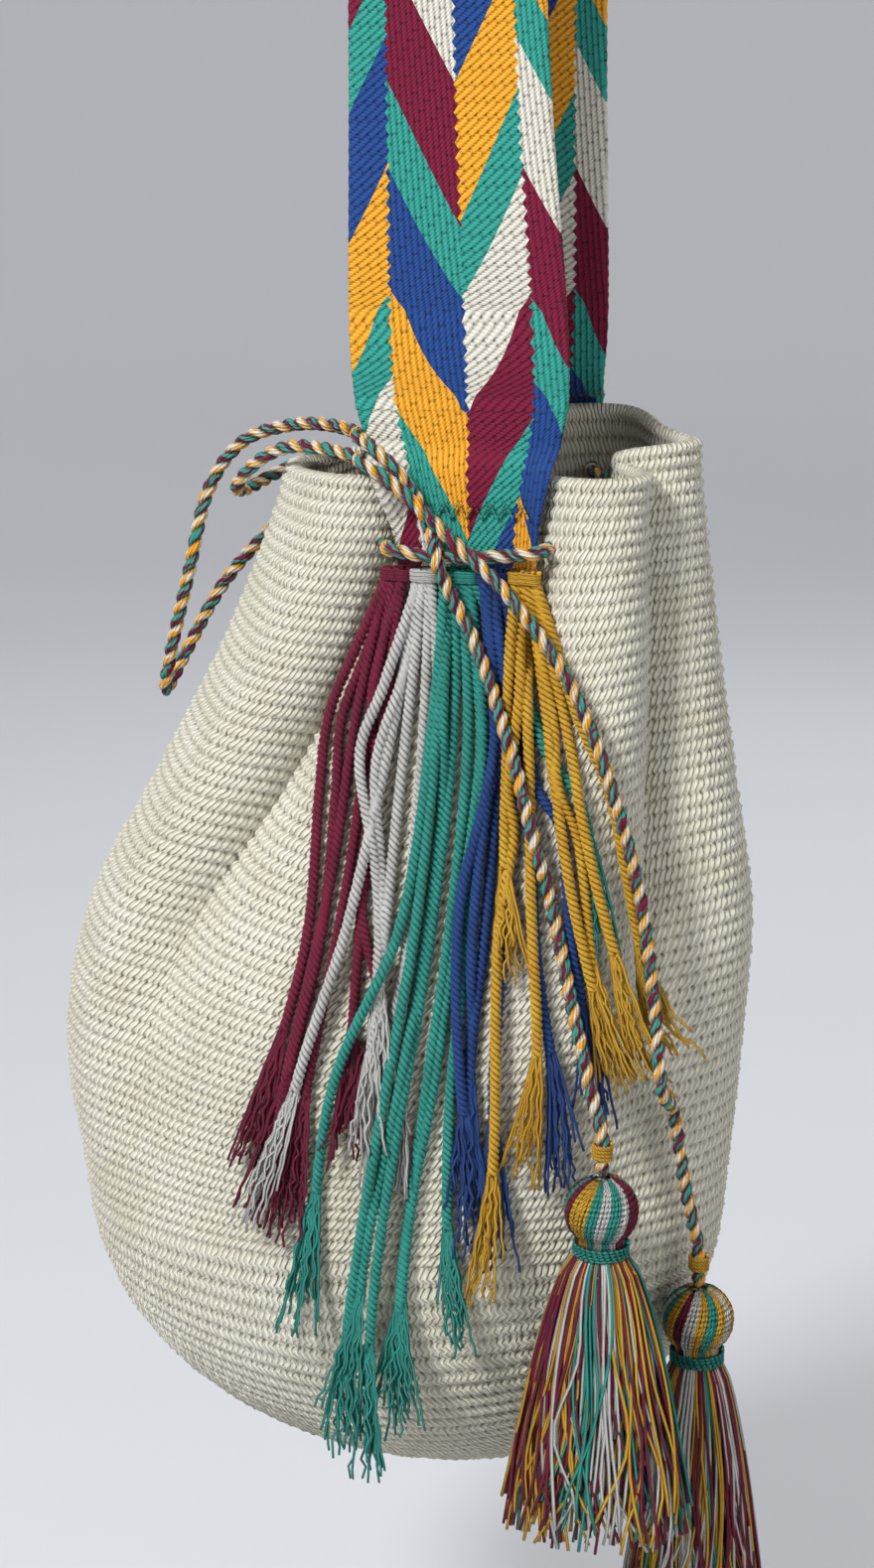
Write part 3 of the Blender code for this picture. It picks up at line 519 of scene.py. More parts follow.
class Surface:
    """What has been laid so far, seen along Y from the front or from the back.

    Heights are distances from the plane y = 0 towards the viewer.
    """

    def __init__(self, side, solids):
        self.side = side
        self.trees = []
        for obj in solids:
            mesh = obj.data
            self.trees.append(BVHTree.FromPolygons([v.co for v in mesh.vertices],
                                                   [p.vertices for p in mesh.polygons]))
        self.cords = np.zeros((0, 4))

    def height(self, x, z):
        best = None
        for tree in self.trees:
            hit = tree.ray_cast(Vector((x, 0.5 * self.side, z)), Vector((0, -self.side, 0)))[0]
            if hit is not None and (best is None or hit.y * self.side > best):
                best = hit.y * self.side
        return best

    def highest(self, x, z, reach):
        """Greatest height within reach of a place, or None."""
        steps = np.array((-1.0, -0.5, 0.0, 0.5, 1.0)) * reach
        found = [self.height(x + dx, z + dz) for dx in steps for dz in steps]
        return max((level for level in found if level is not None), default=None)

    def rest(self, x, z, radius):
        """Height at which a ball touches nothing, or None where nothing lies below it."""
        reach = radius + LAY_GAP
        found = []
        for dx in np.array((-1.0, -0.7, -0.35, 0.0, 0.35, 0.7, 1.0)) * reach:
            for dz in np.array((-0.8, -0.4, 0.0, 0.4, 0.8)) * reach:
                square = reach ** 2 - dx ** 2 - dz ** 2
                level = self.height(x + dx, z + dz) if square >= 0 else None
                if level is not None:
                    found.append(level + math.sqrt(square))
        if len(self.cords):
            far = self.cords[:, 3] + reach - 0.7 * MM
            square = far ** 2 - (self.cords[:, 0] - x) ** 2 - (self.cords[:, 1] - z) ** 2
            near = square > 0
            if near.any():
                found.append((self.cords[near, 2] + np.sqrt(square[near])).max())
        return max(found) if found else None

    def lay(self, route, radius, hanging, end_radius=None):
        """Lay a cord along a route of x, z and least height; it follows what lies under it.

        A fourth value of 0 in a route point marks where the cord hangs free beside the bag.
        """
        path = smooth_curve([tuple(p) + (1,) * (4 - len(p)) for p in route], 2.5 * MM)
        to_end = 2.5 * MM * np.arange(len(path))[::-1]
        radii = radius + ((end_radius or radius) - radius) * np.clip(1 - to_end / TUFT_LENGTH, 0, 1)
        floor = path[:, 2].copy()
        for k, (x, z, low, laid) in enumerate(path):
            level = self.rest(x, z, radii[k]) if laid > 0.5 else None
            if level is not None:
                floor[k] = max(low, level)
        wanted = np.maximum.accumulate(floor) if hanging else floor
        kernel = np.exp(-np.linspace(-1.6, 1.6, 9) ** 2)
        padded = np.pad(wanted, 4, mode="edge")
        height = np.maximum(np.convolve(padded, kernel / kernel.sum(), mode="valid"), floor)
        record = np.column_stack([path[:, 0], path[:, 1], height, radii])
        return np.column_stack([path[:, 0], height * self.side, path[:, 1]]), record


# Strap

def strap_centre(z, side):
    """Centre x of a strap leg: it wanders a little to the left between the peg and the bag."""
    low = 5 * MM if side == FRONT else 3 * MM
    bow = (-9 if side == FRONT else 8) * MM
    share = z / STRAP_END_Z
    return low * share + bow * math.sin(math.pi * share)


def smooth_step(value, start, end):
    """Share from 0 at start to 1 at end, level at both."""
    share = np.clip((value - start) / (end - start), 0, 1)
    return share ** 2 * (3 - 2 * share)


def strap_half_width(z):
    """Half width of a leg: cupped narrower towards the peg, gathered narrower at its end."""
    gathered = smooth_step(z, STRAP_GATHER_Z, STRAP_END_Z)
    cupped = smooth_step(z, STRAP_FLAT_Z, STRAP_CUPPED_Z)
    width = STRAP_WIDTH + (STRAP_END_WIDTH - STRAP_WIDTH) * gathered
    return (width + (STRAP_TOP_WIDTH - STRAP_WIDTH) * cupped) / 2


def strap_rows():
    """Middle of the band as a coarse grid of points, and the drop below the peg of each row."""
    views = {side: Surface(side, [NODES["bag_body"]]) for side in (FRONT, BACK)}
    half = STRAP_THICKNESS / 2
    leg = list(np.linspace(STRAP_END_Z, STRAP_GATHER_Z - PEG_RADIUS, 11))
    leg += list(np.linspace(STRAP_FLAT_Z + 10 * MM, -PEG_RADIUS, 7))
    stationing = [(FRONT, z, None) for z in leg]
    stationing += [(0, None, a) for a in np.linspace(-60, 60, 5)]
    stationing += [(BACK, z, None) for z in reversed(leg)]
    rows, drops = [], []
    for side, z, bend in stationing:
        row = []
        for across in np.linspace(-1, 1, 9):
            if side == 0:
                angle = math.radians(bend)
                lift = PEG_RADIUS + half
                row.append((across * STRAP_TOP_WIDTH / 2, lift * math.sin(angle),
                            lift * math.cos(angle) - PEG_RADIUS))
                continue
            x = strap_centre(z, side) + across * strap_half_width(z)
            share = (-z - PEG_RADIUS) / (-STRAP_GATHER_Z - PEG_RADIUS)
            level = PEG_RADIUS + half + (STRAP_LEG_OUT - PEG_RADIUS) * max(share, 0) ** 1.4
            gather = np.clip((STRAP_GATHER_Z - z) / (20 * MM), 0, 1)
            level += 0.9 * MM * gather * (1 - math.cos(5 * math.pi * across)) / 2
            highest = views[side].highest(x, z, STRAP_FEELER)
            if highest is not None:
                level = max(level, highest + LAY_GAP + half)
            row.append((x, level * side, z))
        rows.append(row)
        drops.append(z if side else -abs(bend) / 60 * 8 * MM)
    return np.array(rows), np.array(drops)


def spline_at(values, at):
    """Values of a smooth curve through a list of values, at fractional places in the list."""
    padded = np.concatenate([2 * values[:1] - values[1:2], values, 2 * values[-1:] - values[-2:-1]])
    i = np.clip(np.floor(at).astype(int), 0, len(values) - 2)
    t = (at - i).reshape((-1,) + (1,) * (values.ndim - 1))
    return curve_at(*(padded[i + k] for k in range(4)), t)


def band_column(step):
    """The column of colours in which one of the band's steps across lies."""
    return next(column for column in COLUMNS if column[0] <= step < column[1])


def band_cycle(column, x, z):
    """Place in the cycle of colours, x being across from the left edge and z the height in mm."""
    left, _, start, rise = column
    from_left = x - left / STRAP_STEPS * STRAP_WIDTH / MM
    return (start + rise * BAND_SLOPE * from_left - z) / BAND_CYCLE


def strap_colour(x, z):
    """Colour of the band at a place in mm."""
    step = min(int(x / (STRAP_WIDTH / MM) * STRAP_STEPS), STRAP_STEPS - 1)
    cycle = band_cycle(band_column(step), x, z) % 1
    return [name for name, first in BANDS if first <= cycle][-1]


def add_strap(material):
    """Woven band; the borders of its colour columns have one tooth for each turn of a float."""
    coarse, drops = strap_rows()
    along = lengths(coarse[:, 4])
    at = np.interp(np.arange(0, along[-1], TOOTH), along, np.arange(len(along)))
    rows = spline_at(coarse, at)
    heights = np.interp(at, np.arange(len(drops)), drops)
    borders = {column[0] for column in COLUMNS[1:]}
    grid = np.empty((len(rows), STRAP_STEPS + 1, 3))
    shares = np.empty((len(rows), STRAP_STEPS + 1))
    for i, row in enumerate(rows):
        share = np.arange(STRAP_STEPS + 1) / STRAP_STEPS
        for k in borders:
            share[k] += (0.011 if i % 2 else -0.011)
        grid[i] = spline_at(row, share * 8)
        shares[i] = share
    down = np.gradient(grid, axis=0)
    across = np.gradient(grid, axis=1)
    normals = np.cross(across, down)
    normals /= np.linalg.norm(normals, axis=2)[..., None]
    half = np.full(STRAP_STEPS + 1, STRAP_THICKNESS / 2)
    half[[0, -1]] *= 0.55
    outside = grid + normals * half[None, :, None]
    inside = grid - normals * half[None, :, None]
    edge = (0.45 + 0.25 * (np.arange(len(rows)) % 2)) * MM
    sideways = across / np.linalg.norm(across, axis=2)[..., None]
    left = grid[:, 0] - sideways[:, 0] * edge[:, None]
    right = grid[:, -1] + sideways[:, -1] * edge[:, None]
    ring = np.concatenate([outside, right[:, None], inside[:, ::-1], left[:, None]], axis=1)
    size = ring.shape[1]
    ring_share = np.concatenate([shares, shares[:, -1:], shares[:, ::-1], shares[:, :1]], axis=1)
    last = STRAP_STEPS - 1
    steps = np.concatenate([np.arange(STRAP_STEPS), [last, last],
                            np.arange(STRAP_STEPS)[::-1], [0, 0]])
    quads, uvs = [], []
    for k in range(size):
        after = (k + 1) % size
        column = band_column(steps[k])
        lean = math.radians(37 if column[3] > 0 else 94)
        corner = []
        for ring_k, step in ((k, 0), (k, 1), (after, 1), (after, 0)):
            x = ring_share[:, ring_k] * STRAP_WIDTH / MM
            x = x[step:len(x) - 1 + step]
            z = heights[step:len(heights) - 1 + step] / MM
            corner.append(np.column_stack([band_cycle(column, x, z), np.full(len(x), 0.5),
                                           z * math.cos(lean) - x * math.sin(lean),
                                           x * math.cos(lean) + z * math.sin(lean)]))
        i = np.arange(len(rows) - 1)
        quads.append(np.column_stack([i * size + k, (i + 1) * size + k,
                                      (i + 1) * size + after, i * size + after]))
        uvs.append(np.stack(corner, axis=1))
    for base, order in ((0, 1), ((len(rows) - 1) * size, -1)):
        for k in range(STRAP_STEPS):
            quad = [base + k, base + k + 1, base + size - 3 - k, base + size - 2 - k][::order]
            quads.append([quad])
            uvs.append(np.repeat(uvs[k][(0 if base == 0 else -1), :1][None], 4, axis=1))
    shape = Shape()
    shape.add(ring.reshape(-1, 3), np.vstack(quads), np.concatenate(uvs))
    return shape.finish("strap_woven_band", [material], "shoulder_strap", ("UVMap", "floats"))


# Drawstring, fringe and tassels

def drawstring_run():
    """Centre line of the drawstring at the gathered mouth, bent out over the strap."""
    angles = np.radians(np.arange(0, 360, 6))
    path = np.column_stack([RUN_CENTRE_X + RUN_HALF_WIDTH * np.cos(angles),
                            RUN_HALF_DEPTH * np.sin(angles), RUN_Z + RUN_TILT * np.sin(angles)])
    for side in (FRONT, BACK):
        view = Surface(side, [NODES["shoulder_strap"]])
        for point in path:
            resting = view.rest(point[0], point[2], CORD_RADIUS + 2 * EYELET_CLEARANCE)
            if point[1] * side > 0 and resting is not None:
                point[1] = side * max(point[1] * side, resting)
    return path


# Colours of the tassels' yarns, the share of each among the loose ones, and how many of these
# keep the colour of the head above them; below, the drops and radii of the core in mm
TASSEL_COLOURS = ("burgundy", "gold", "cream", "teal")
YARN_SHARES = (0.3, 0.28, 0.27, 0.15)
SECTOR_SHARE = 0.35
CORE = ((4, 5.5), (8, 9.0), (14, 11.0), (20, 9.0), (26, 6.4), (34, 7.0))

# Routes of the drawstring's tails in mm: x, z and least distance in front of the middle plane,
# and a 0 where the cord hangs free
LEFT_TAIL = ((-49, -513, -20, 0), (-58, -516, -25, 0), (-74, -528, -25, 0), (-93, -550, -17, 0),
             (-106, -577, -4, 0), (-110, -587, 3, 0), (-106, -571, 9, 0), (-98, -541, 11, 0),
             (-92, -514, 7, 0), (-80, -497, 6, 0), (-60, -490, 12, 0), (-41, -489.5, 23),
             (-26, -494, 35), (-15, -504, 43), (-6, -521, 46), (-1, -537, 48),
             (8, -554, 50), (15, -570, 52), (23, -590, 54), (30, -613, 56),
             (36, -635, 60), (44, -668, 70), (52, -698, 76), (56.5, -714, 78),
             (57, -722, 78), (57, -728, 78))
RIGHT_TAIL = ((-49, -503.5, -20, 0), (-58, -504, -23, 0), (-71, -509, -14, 0),
              (-80, -514, 0, 0), (-80, -511, 14, 0), (-71, -502, 20, 0), (-58, -496, 26, 0),
              (-42, -496, 35), (-28, -499, 43), (-17, -506, 48), (-6, -516, 50),
              (5, -526, 52), (16, -535, 54), (26, -546, 56), (37, -560, 58),
              (49, -582, 58), (59, -610, 58), (67, -642, 58), (72, -676, 54),
              (77, -710, 50), (82, -745, 45), (86.5, -766, 42), (87, -774, 42),
              (87, -780, 42))

# Route of each tail, and half width, half depth and forward lean of its tassel's skirt in mm
TAILS = {"left": (LEFT_TAIL, 33, 21, 3), "right": (RIGHT_TAIL, 26, 18, 0)}

# Fringe routes in mm: x at the head, then x and z on the way down to the tuft's end
FRONT_FRINGE = {
    "burgundy": (((-16.5, 0), (-21, -580), (-27, -641), (-31, -735)),
                 ((-19, 0), (-26, -580), (-33, -641), (-45, -710), (-53, -766)),
                 ((-21.5, 0), (-31, -580), (-39, -641), (-52, -705), (-62, -760))),
    "cream": (((-9, 0), (-14, -590), (-18, -641), (-21, -700), (-22, -748)),
              ((-11, 0), (-19, -590), (-31, -650), (-46, -700), (-61, -757)),
              ((-7, 0), (-8, -590), (-11, -641), (-13, -700), (-14, -745))),
    "teal": (((0, 0), (-3, -590), (-8, -650), (-17, -710), (-29, -790), (-31, -838)),
             ((2, 0), (2, -590), (-3, -650), (-11, -710), (-21, -790), (-20, -850)),
             ((4, 0), (7, -590), (3, -650), (-4, -710), (-12, -785), (-9, -832)),
             ((6.5, 0), (12, -590), (9, -650), (4, -720), (5, -800)),
             ((-1.6, 0), (-4, -580), (-13, -650), (-36, -710), (-46, -796))),
    "blue": (((12.5, 0), (17, -590), (15, -650), (11, -700), (13, -765)),
             ((14.5, 0), (21, -590), (21, -650), (19, -710), (21, -770)),
             ((16.5, 0), (26, -590), (33, -660), (40, -705), (42, -742))),
    "gold": (((23.5, 0), (28, -580), (31, -640), (34, -690), (31, -740)),
             ((25.5, 0), (34, -580), (45, -640), (56, -685), (62, -708)),
             ((27.5, 0), (40, -580), (54, -640), (70, -690), (80, -704)),
             ((21.8, 0), (21, -575), (21, -620), (24, -668))),
}
# More cords of the same bundles, which only the looks show
FRONT_MORE = {
    "burgundy": (((-21, 0), (-32, -560), (-42, -585), (-44, -610), (-46, -656), (-56, -700),
                  (-66, -740)),
                 ((-20, 0), (-28, -560), (-37, -585), (-38, -610), (-41, -656), (-50, -700),
                  (-61, -758)),
                 ((-15.8, 0), (-26, -574), (-24, -603), (-28, -637), (-26, -655), (-21, -680),
                  (-30, -729))),
    "cream": (((-10, 0), (-21, -571), (-29, -596), (-23, -630), (-20, -674), (-19, -723)),
              ((-8.4, 0), (-16, -571), (-23, -597), (-22, -623), (-19, -655), (-21, -685),
               (-25, -729)),
              ((-6.4, 0), (-3, -582), (-6, -604), (-7, -626), (-10, -654), (-16, -688),
               (-22, -732))),
    "teal": (((-0.8, 0), (-1, -576), (-1, -609), (-5, -654), (-12, -705), (-22, -759), (-30, -821)),
             ((5, 0), (11, -582), (10, -612), (5, -653), (-1, -704), (-9, -754), (-14, -822)),
             ((7, 0), (27, -576), (35, -593), (47, -610), (54, -651), (56, -670))),
    "blue": (((13, 0), (20, -570), (18, -592), (14, -612), (11, -653), (11, -690), (10, -753)),
             ((16.5, 0), (26, -581), (31, -603), (40, -617), (44, -651), (51, -694), (54, -725)),
             ((11.6, 0), (16, -586), (13, -612), (7, -639), (6, -669), (9, -711), (15, -751))),
    "gold": (((24, 0), (35, -575), (39, -603), (46, -620), (50, -651), (54, -680), (62, -700)),
             ((27.8, 0), (44, -578), (55, -603), (61, -630), (65, -650), (72, -679), (83, -694)),
             ((22.2, 0), (25, -572), (22, -603), (24, -621), (20, -655), (20, -725), (16, -781))),
}
BACK_FRINGE = {
    "gold": (((-18, 0), (-23, -600), (-32, -680), (-36, -720)),
             ((-15, 0), (-16, -600), (-20, -690), (-22, -735))),
    "blue": (((-9.5, 0), (-9.5, -600), (-12, -700), (-14, -750)),
             ((-8, 0), (-7, -600), (-8, -700), (-8, -738))),
    "teal": (((-2, 0), (-1, -600), (-1, -700), (0, -780)),
             ((1, 0), (6, -600), (9, -700), (11, -770))),
    "cream": (((7.5, 0), (13, -600), (17, -690), (18, -722)),
              ((9, 0), (17, -600), (23, -690), (26, -733))),
    "burgundy": (((15, 0), (24, -600), (31, -690), (35, -740)),
                 ((18, 0), (32, -600), (42, -680), (48, -715))),
}


def rounded(path):
    """The path with its ends kept and its tightest bends eased to what a twisted cord can follow."""
    weights = np.array((1, 2, 3, 2, 1)) / 9
    padded = np.pad(path, ((2, 2), (0, 0)), mode="reflect", reflect_type="odd")
    return np.column_stack([np.convolve(padded[:, k], weights, mode="valid") for k in range(3)])


def add_rope(name, path, node, material):
    """Drawstring of two thick plies, each twisted from yarns of two colours, round at its end."""
    points = resample(path, 0.8 * MM)
    shape = Shape()
    radii = np.full(len(points), CORD_RADIUS * 1.08)
    radii[-4:] *= (0.95, 0.85, 0.7, 0.4)
    add_tube(shape, points, radii, 16, plies=2, pitch=CORD_PITCH, depth=0.42)
    return shape.finish(name, [material], node), points


def add_tuft(shape, path):
    """Unravelled end of a plied cord: crimped yarns that fan out along the path's last part."""
    along = lengths(path)
    drift = RANDOM.uniform(-3, 3) * MM
    for _ in range(TUFT_YARNS):
        length = along[-1] * RANDOM.uniform(0.6, 1.0)
        at = np.linspace(0, length, 15)
        share = at / along[-1]
        centre = np.column_stack([np.interp(at, along, path[:, k]) for k in range(3)])
        turn = RANDOM.uniform(0, 2 * math.pi)
        spread = RANDOM.uniform(0.25, 1.0) * 8.0 * MM * share ** 0.9
        crimp = RANDOM.uniform(0.4, 1.1) * MM * np.sin(
            2 * math.pi * (at / (RANDOM.uniform(7, 13) * MM) + RANDOM.uniform(0, 1)))
        reach = 0.9 * MM + spread
        curl = RANDOM.normal(0, 2.6) * MM * share ** 3
        offset = np.column_stack([
            reach * math.cos(turn) + crimp * math.sin(turn) + curl + drift * share,
            0.35 * reach * math.sin(turn) - 0.25 * spread - 0.2 * np.abs(curl),
            crimp * 0.5])
        add_tube(shape, centre + offset, np.linspace(0.62, 0.45, 15) * MM, 5)


def header_levels(surface, left, right, z_top):
    """Height of the knotted head of one colour of fringe over the panel behind it."""
    middle = z_top - HEADER_HEIGHT / 2
    found = [surface.highest(x, middle, HEADER_HEIGHT / 2) for x in np.linspace(left, right, 5)]
    return max(found) + LAY_GAP + HEADER_THICKNESS / 2


def add_fringe(name, surface, routes, more, material):
    """One colour of fringe: plied cords that hang from small coils and open into tufts."""
    tops = [route[0][0] * MM for route in routes]
    z_top = STRAP_END_Z - GAP
    level = header_levels(surface, min(tops) - FRINGE_RADIUS - 0.2 * MM,
                          max(tops) + FRINGE_RADIUS + 0.2 * MM, z_top)
    shape = Shape()
    placed = []
    for route in routes + more:
        full = [(x * MM, z * MM, level) for x, z in route]
        full[0] = (full[0][0], z_top - HEADER_HEIGHT / 2, level)
        points, record = surface.lay(full, FRINGE_RADIUS, True, TUFT_RADIUS)
        placed.append(record)
        steps = np.linalg.norm(np.diff(points, axis=0), axis=1)
        to_end = np.append(np.cumsum(steps[::-1])[::-1], 0)
        split = int(np.searchsorted(-to_end, -TUFT_LENGTH * RANDOM.uniform(0.9, 1.35)))
        cord = resample(points[:split + 2], 0.95 * MM)
        add_tube(shape, cord, FRINGE_RADIUS * 1.08, 9, plies=3, pitch=-FRINGE_PITCH, depth=0.42,
                 phase=RANDOM.uniform(0, 1))
        add_tuft(shape, points[split:])
        turns = np.linspace(0, 3 * 2 * math.pi, 40)
        coil = np.column_stack([points[0, 0] + (FRINGE_RADIUS + 0.3 * MM) * np.cos(turns),
                                points[0, 1] + (FRINGE_RADIUS + 0.3 * MM) * np.sin(turns),
                                z_top - 0.6 * MM - turns / turns[-1] * 3.6 * MM])
        add_tube(shape, coil, 0.75 * MM, 6)
    surface.cords = np.vstack([surface.cords] + placed)
    return shape.finish(name + "_plied_cords", [material], name)


def add_stitches(name, surface, materials):
    """Zigzag of seam thread that sews one end of the strap to the mouth, dyed to match it."""
    x = strap_centre(STRAP_END_Z, surface.side)
    middle = SEAM_Z[surface.side]
    route = [(x + (k - SEAM_POINTS // 2) * SEAM_STEP, middle + (k % 2 - 0.5) * SEAM_HEIGHT, 0)
             for k in range(SEAM_POINTS)]
    laid = [surface.lay(pair, THREAD_RADIUS, False) for pair in zip(route, route[1:])]
    surface.cords = np.vstack([surface.cords] + [record for _, record in laid])
    shape = Shape()
    names = list(COLOURS)
    for points, _ in laid:
        for piece in np.array_split(resample(points, 0.4 * MM), 3):
            share = 0.5 + (piece[:, 0].mean() - x) / (2 * strap_half_width(middle))
            colour = strap_colour(share * STRAP_WIDTH / MM, piece[:, 2].mean() / MM)
            add_tube(shape, piece, THREAD_RADIUS * 0.8, 7, slot=names.index(colour))
    return shape.finish(name + "_thread", materials, name)


def add_coil(name, centre, inner, thread, turns, height, node, material):
    """Whipping: thread wound close around something round."""
    angles = np.linspace(0, turns * 2 * math.pi, turns * 28)
    radius = inner + thread
    path = np.column_stack([centre[0] + radius * np.cos(angles), centre[1] + radius * np.sin(angles),
                            centre[2] + height * (0.5 - angles / angles[-1])])
    shape = Shape()
    add_tube(shape, path, thread * 1.05, 9, plies=3, pitch=3 * MM, depth=0.25)
    return shape.finish(name, [material], node)


def add_head(shape, pivot, sectors):
    """Ball of a tassel: plied yarns that run down its outside into the neck."""
    head = pivot - (0, 0, HEAD_DEPTH)
    for k in range(HEAD_YARNS):
        turn = 2 * math.pi * (k + RANDOM.uniform(-0.2, 0.2)) / HEAD_YARNS
        slot = int(sectors[k * len(sectors) // HEAD_YARNS])
        polar = np.radians(np.linspace(16, 141, 15))
        radius = HEAD_RADIUS - 0.9 * MM + RANDOM.uniform(-0.3, 0.3) * MM
        swirl = turn + 0.25 * np.cos(polar)
        path = np.column_stack([head[0] + radius * np.sin(polar) * np.cos(swirl),
                                head[1] + radius * np.sin(polar) * np.sin(swirl),
                                head[2] + radius * np.cos(polar)])
        path = np.vstack([path, [pivot[0] + (NECK_RADIUS - 0.6 * MM) * math.cos(swirl[-1]),
                                 pivot[1] + (NECK_RADIUS - 0.6 * MM) * math.sin(swirl[-1]),
                                 pivot[2] - NECK_DEPTH]])
        wide = np.append(0.35 + 0.55 * np.sin(polar), 0.5) * MM
        add_tube(shape, path, wide, 6, plies=2, pitch=5 * MM, depth=0.2, slot=slot)


def add_skirt(shape, pivot, half_width, half_depth, lean, sectors):
    """Skirt of a tassel: loose wavy yarns of uneven length, spread around by the golden ratio."""
    top = pivot[2] - NECK_DEPTH
    for k in range(SKIRT_YARNS):
        turn = 2 * math.pi * ((k * GOLDEN_SHARE) % 1)
        inner = k % 4 == 3
        spread = RANDOM.uniform(0.45, 0.8) if inner else RANDOM.uniform(0.82, 1.02)
        length = SKIRT_LENGTH * (1 - 0.16 * RANDOM.uniform() ** 1.5)
        share = np.linspace(0, 1, 13)
        wide = (NECK_RADIUS - 1 * MM + (half_width - NECK_RADIUS) * share ** 0.62) * spread
        deep = (NECK_RADIUS - 1 * MM + (half_depth - NECK_RADIUS) * share ** 0.62) * spread
        wave = RANDOM.uniform(0.05, 0.26) * np.sin(2 * math.pi * (
            share * RANDOM.uniform(0.5, 1.8) + RANDOM.uniform(0, 1))) * share
        bend = turn + wave + RANDOM.normal(0, 0.2) * share ** 1.5
        path = np.column_stack([pivot[0] + wide * np.cos(bend),
                                pivot[1] + deep * np.sin(bend) - lean * share * length / SKIRT_LENGTH,
                                top - length * share])
        sector = int(turn / (2 * math.pi) * len(sectors))
        own = RANDOM.uniform() < SECTOR_SHARE
        slot = int(sectors[sector] if own else RANDOM.choice(4, p=YARN_SHARES))
        add_tube(shape, path, RANDOM.uniform(0.5, 0.66) * MM, 5, slot=slot)


def add_tassel(name, pivot, half_width, half_depth, lean, materials):
    """Thread tassel in four colours, with a cream core that closes the gaps between the yarns."""
    pivot = np.array(pivot)
    shape = Shape()
    sectors = RANDOM.permutation(np.repeat(np.arange(len(materials)), 5))
    add_head(shape, pivot, sectors)
    add_skirt(shape, pivot, half_width, half_depth, lean, sectors)
    drops, radii = np.array(CORE).T * MM
    core = pivot - np.outer(drops, (0, 0, 1))
    add_tube(shape, core, radii, 20, slot=TASSEL_COLOURS.index("cream"))
    return shape.finish(name + "_threads", materials, name)


# Materials

def feed(tree, node, inputs):
    """Values, sockets or nodes' first outputs go into a node's inputs."""
    for key, value in inputs.items():
        if isinstance(value, bpy.types.Node):
            value = value.outputs[0]
        if isinstance(value, bpy.types.NodeSocket):
            tree.links.new(value, node.inputs[key])
        else:
            node.inputs[key].default_value = value


def add(tree, kind, inputs=None, **settings):
    """A new shader node with its settings and with what feeds its inputs."""
    new = tree.nodes.new("ShaderNode" + kind)
    for key, value in settings.items():
        setattr(new, key, value)
    feed(tree, new, inputs or {})
    return new


def fill(ramp, stops):
    """Colours of a ramp, each with its place from 0 to 1."""
    marks = ramp.color_ramp.elements
    for k, (colour, place) in enumerate(stops):
        mark = marks[k] if k < 2 else marks.new(place)
        mark.color = linear(colour)
        mark.position = place


def cotton(name, roughness, sheen):
    """Material for spun cotton: matt, with a soft sheen from its loose fibres."""
    mat = bpy.data.materials.new(name)
    mat.use_nodes = True
    tree = mat.node_tree
    shader = tree.nodes["Principled BSDF"]
    feed(tree, shader, {"Roughness": roughness, "Specular IOR Level": 0.3,
                        "Sheen Weight": sheen, "Sheen Roughness": 0.45})
    return mat, tree, shader


def grooves(tree, place, turn, sharpness):
    """Mask of grooves, 1 where turn * place is a multiple of pi and 0 between; sharper is narrower.
    It places painted shade in grooves, and on the strap a bump too.
    """
    line = add(tree, "Math", {0: place, 1: turn}, operation="MULTIPLY")
    line = add(tree, "Math", {0: line}, operation="COSINE")
    line = add(tree, "Math", {0: line}, operation="ABSOLUTE")
    return add(tree, "Math", {0: line, 1: sharpness}, operation="POWER")


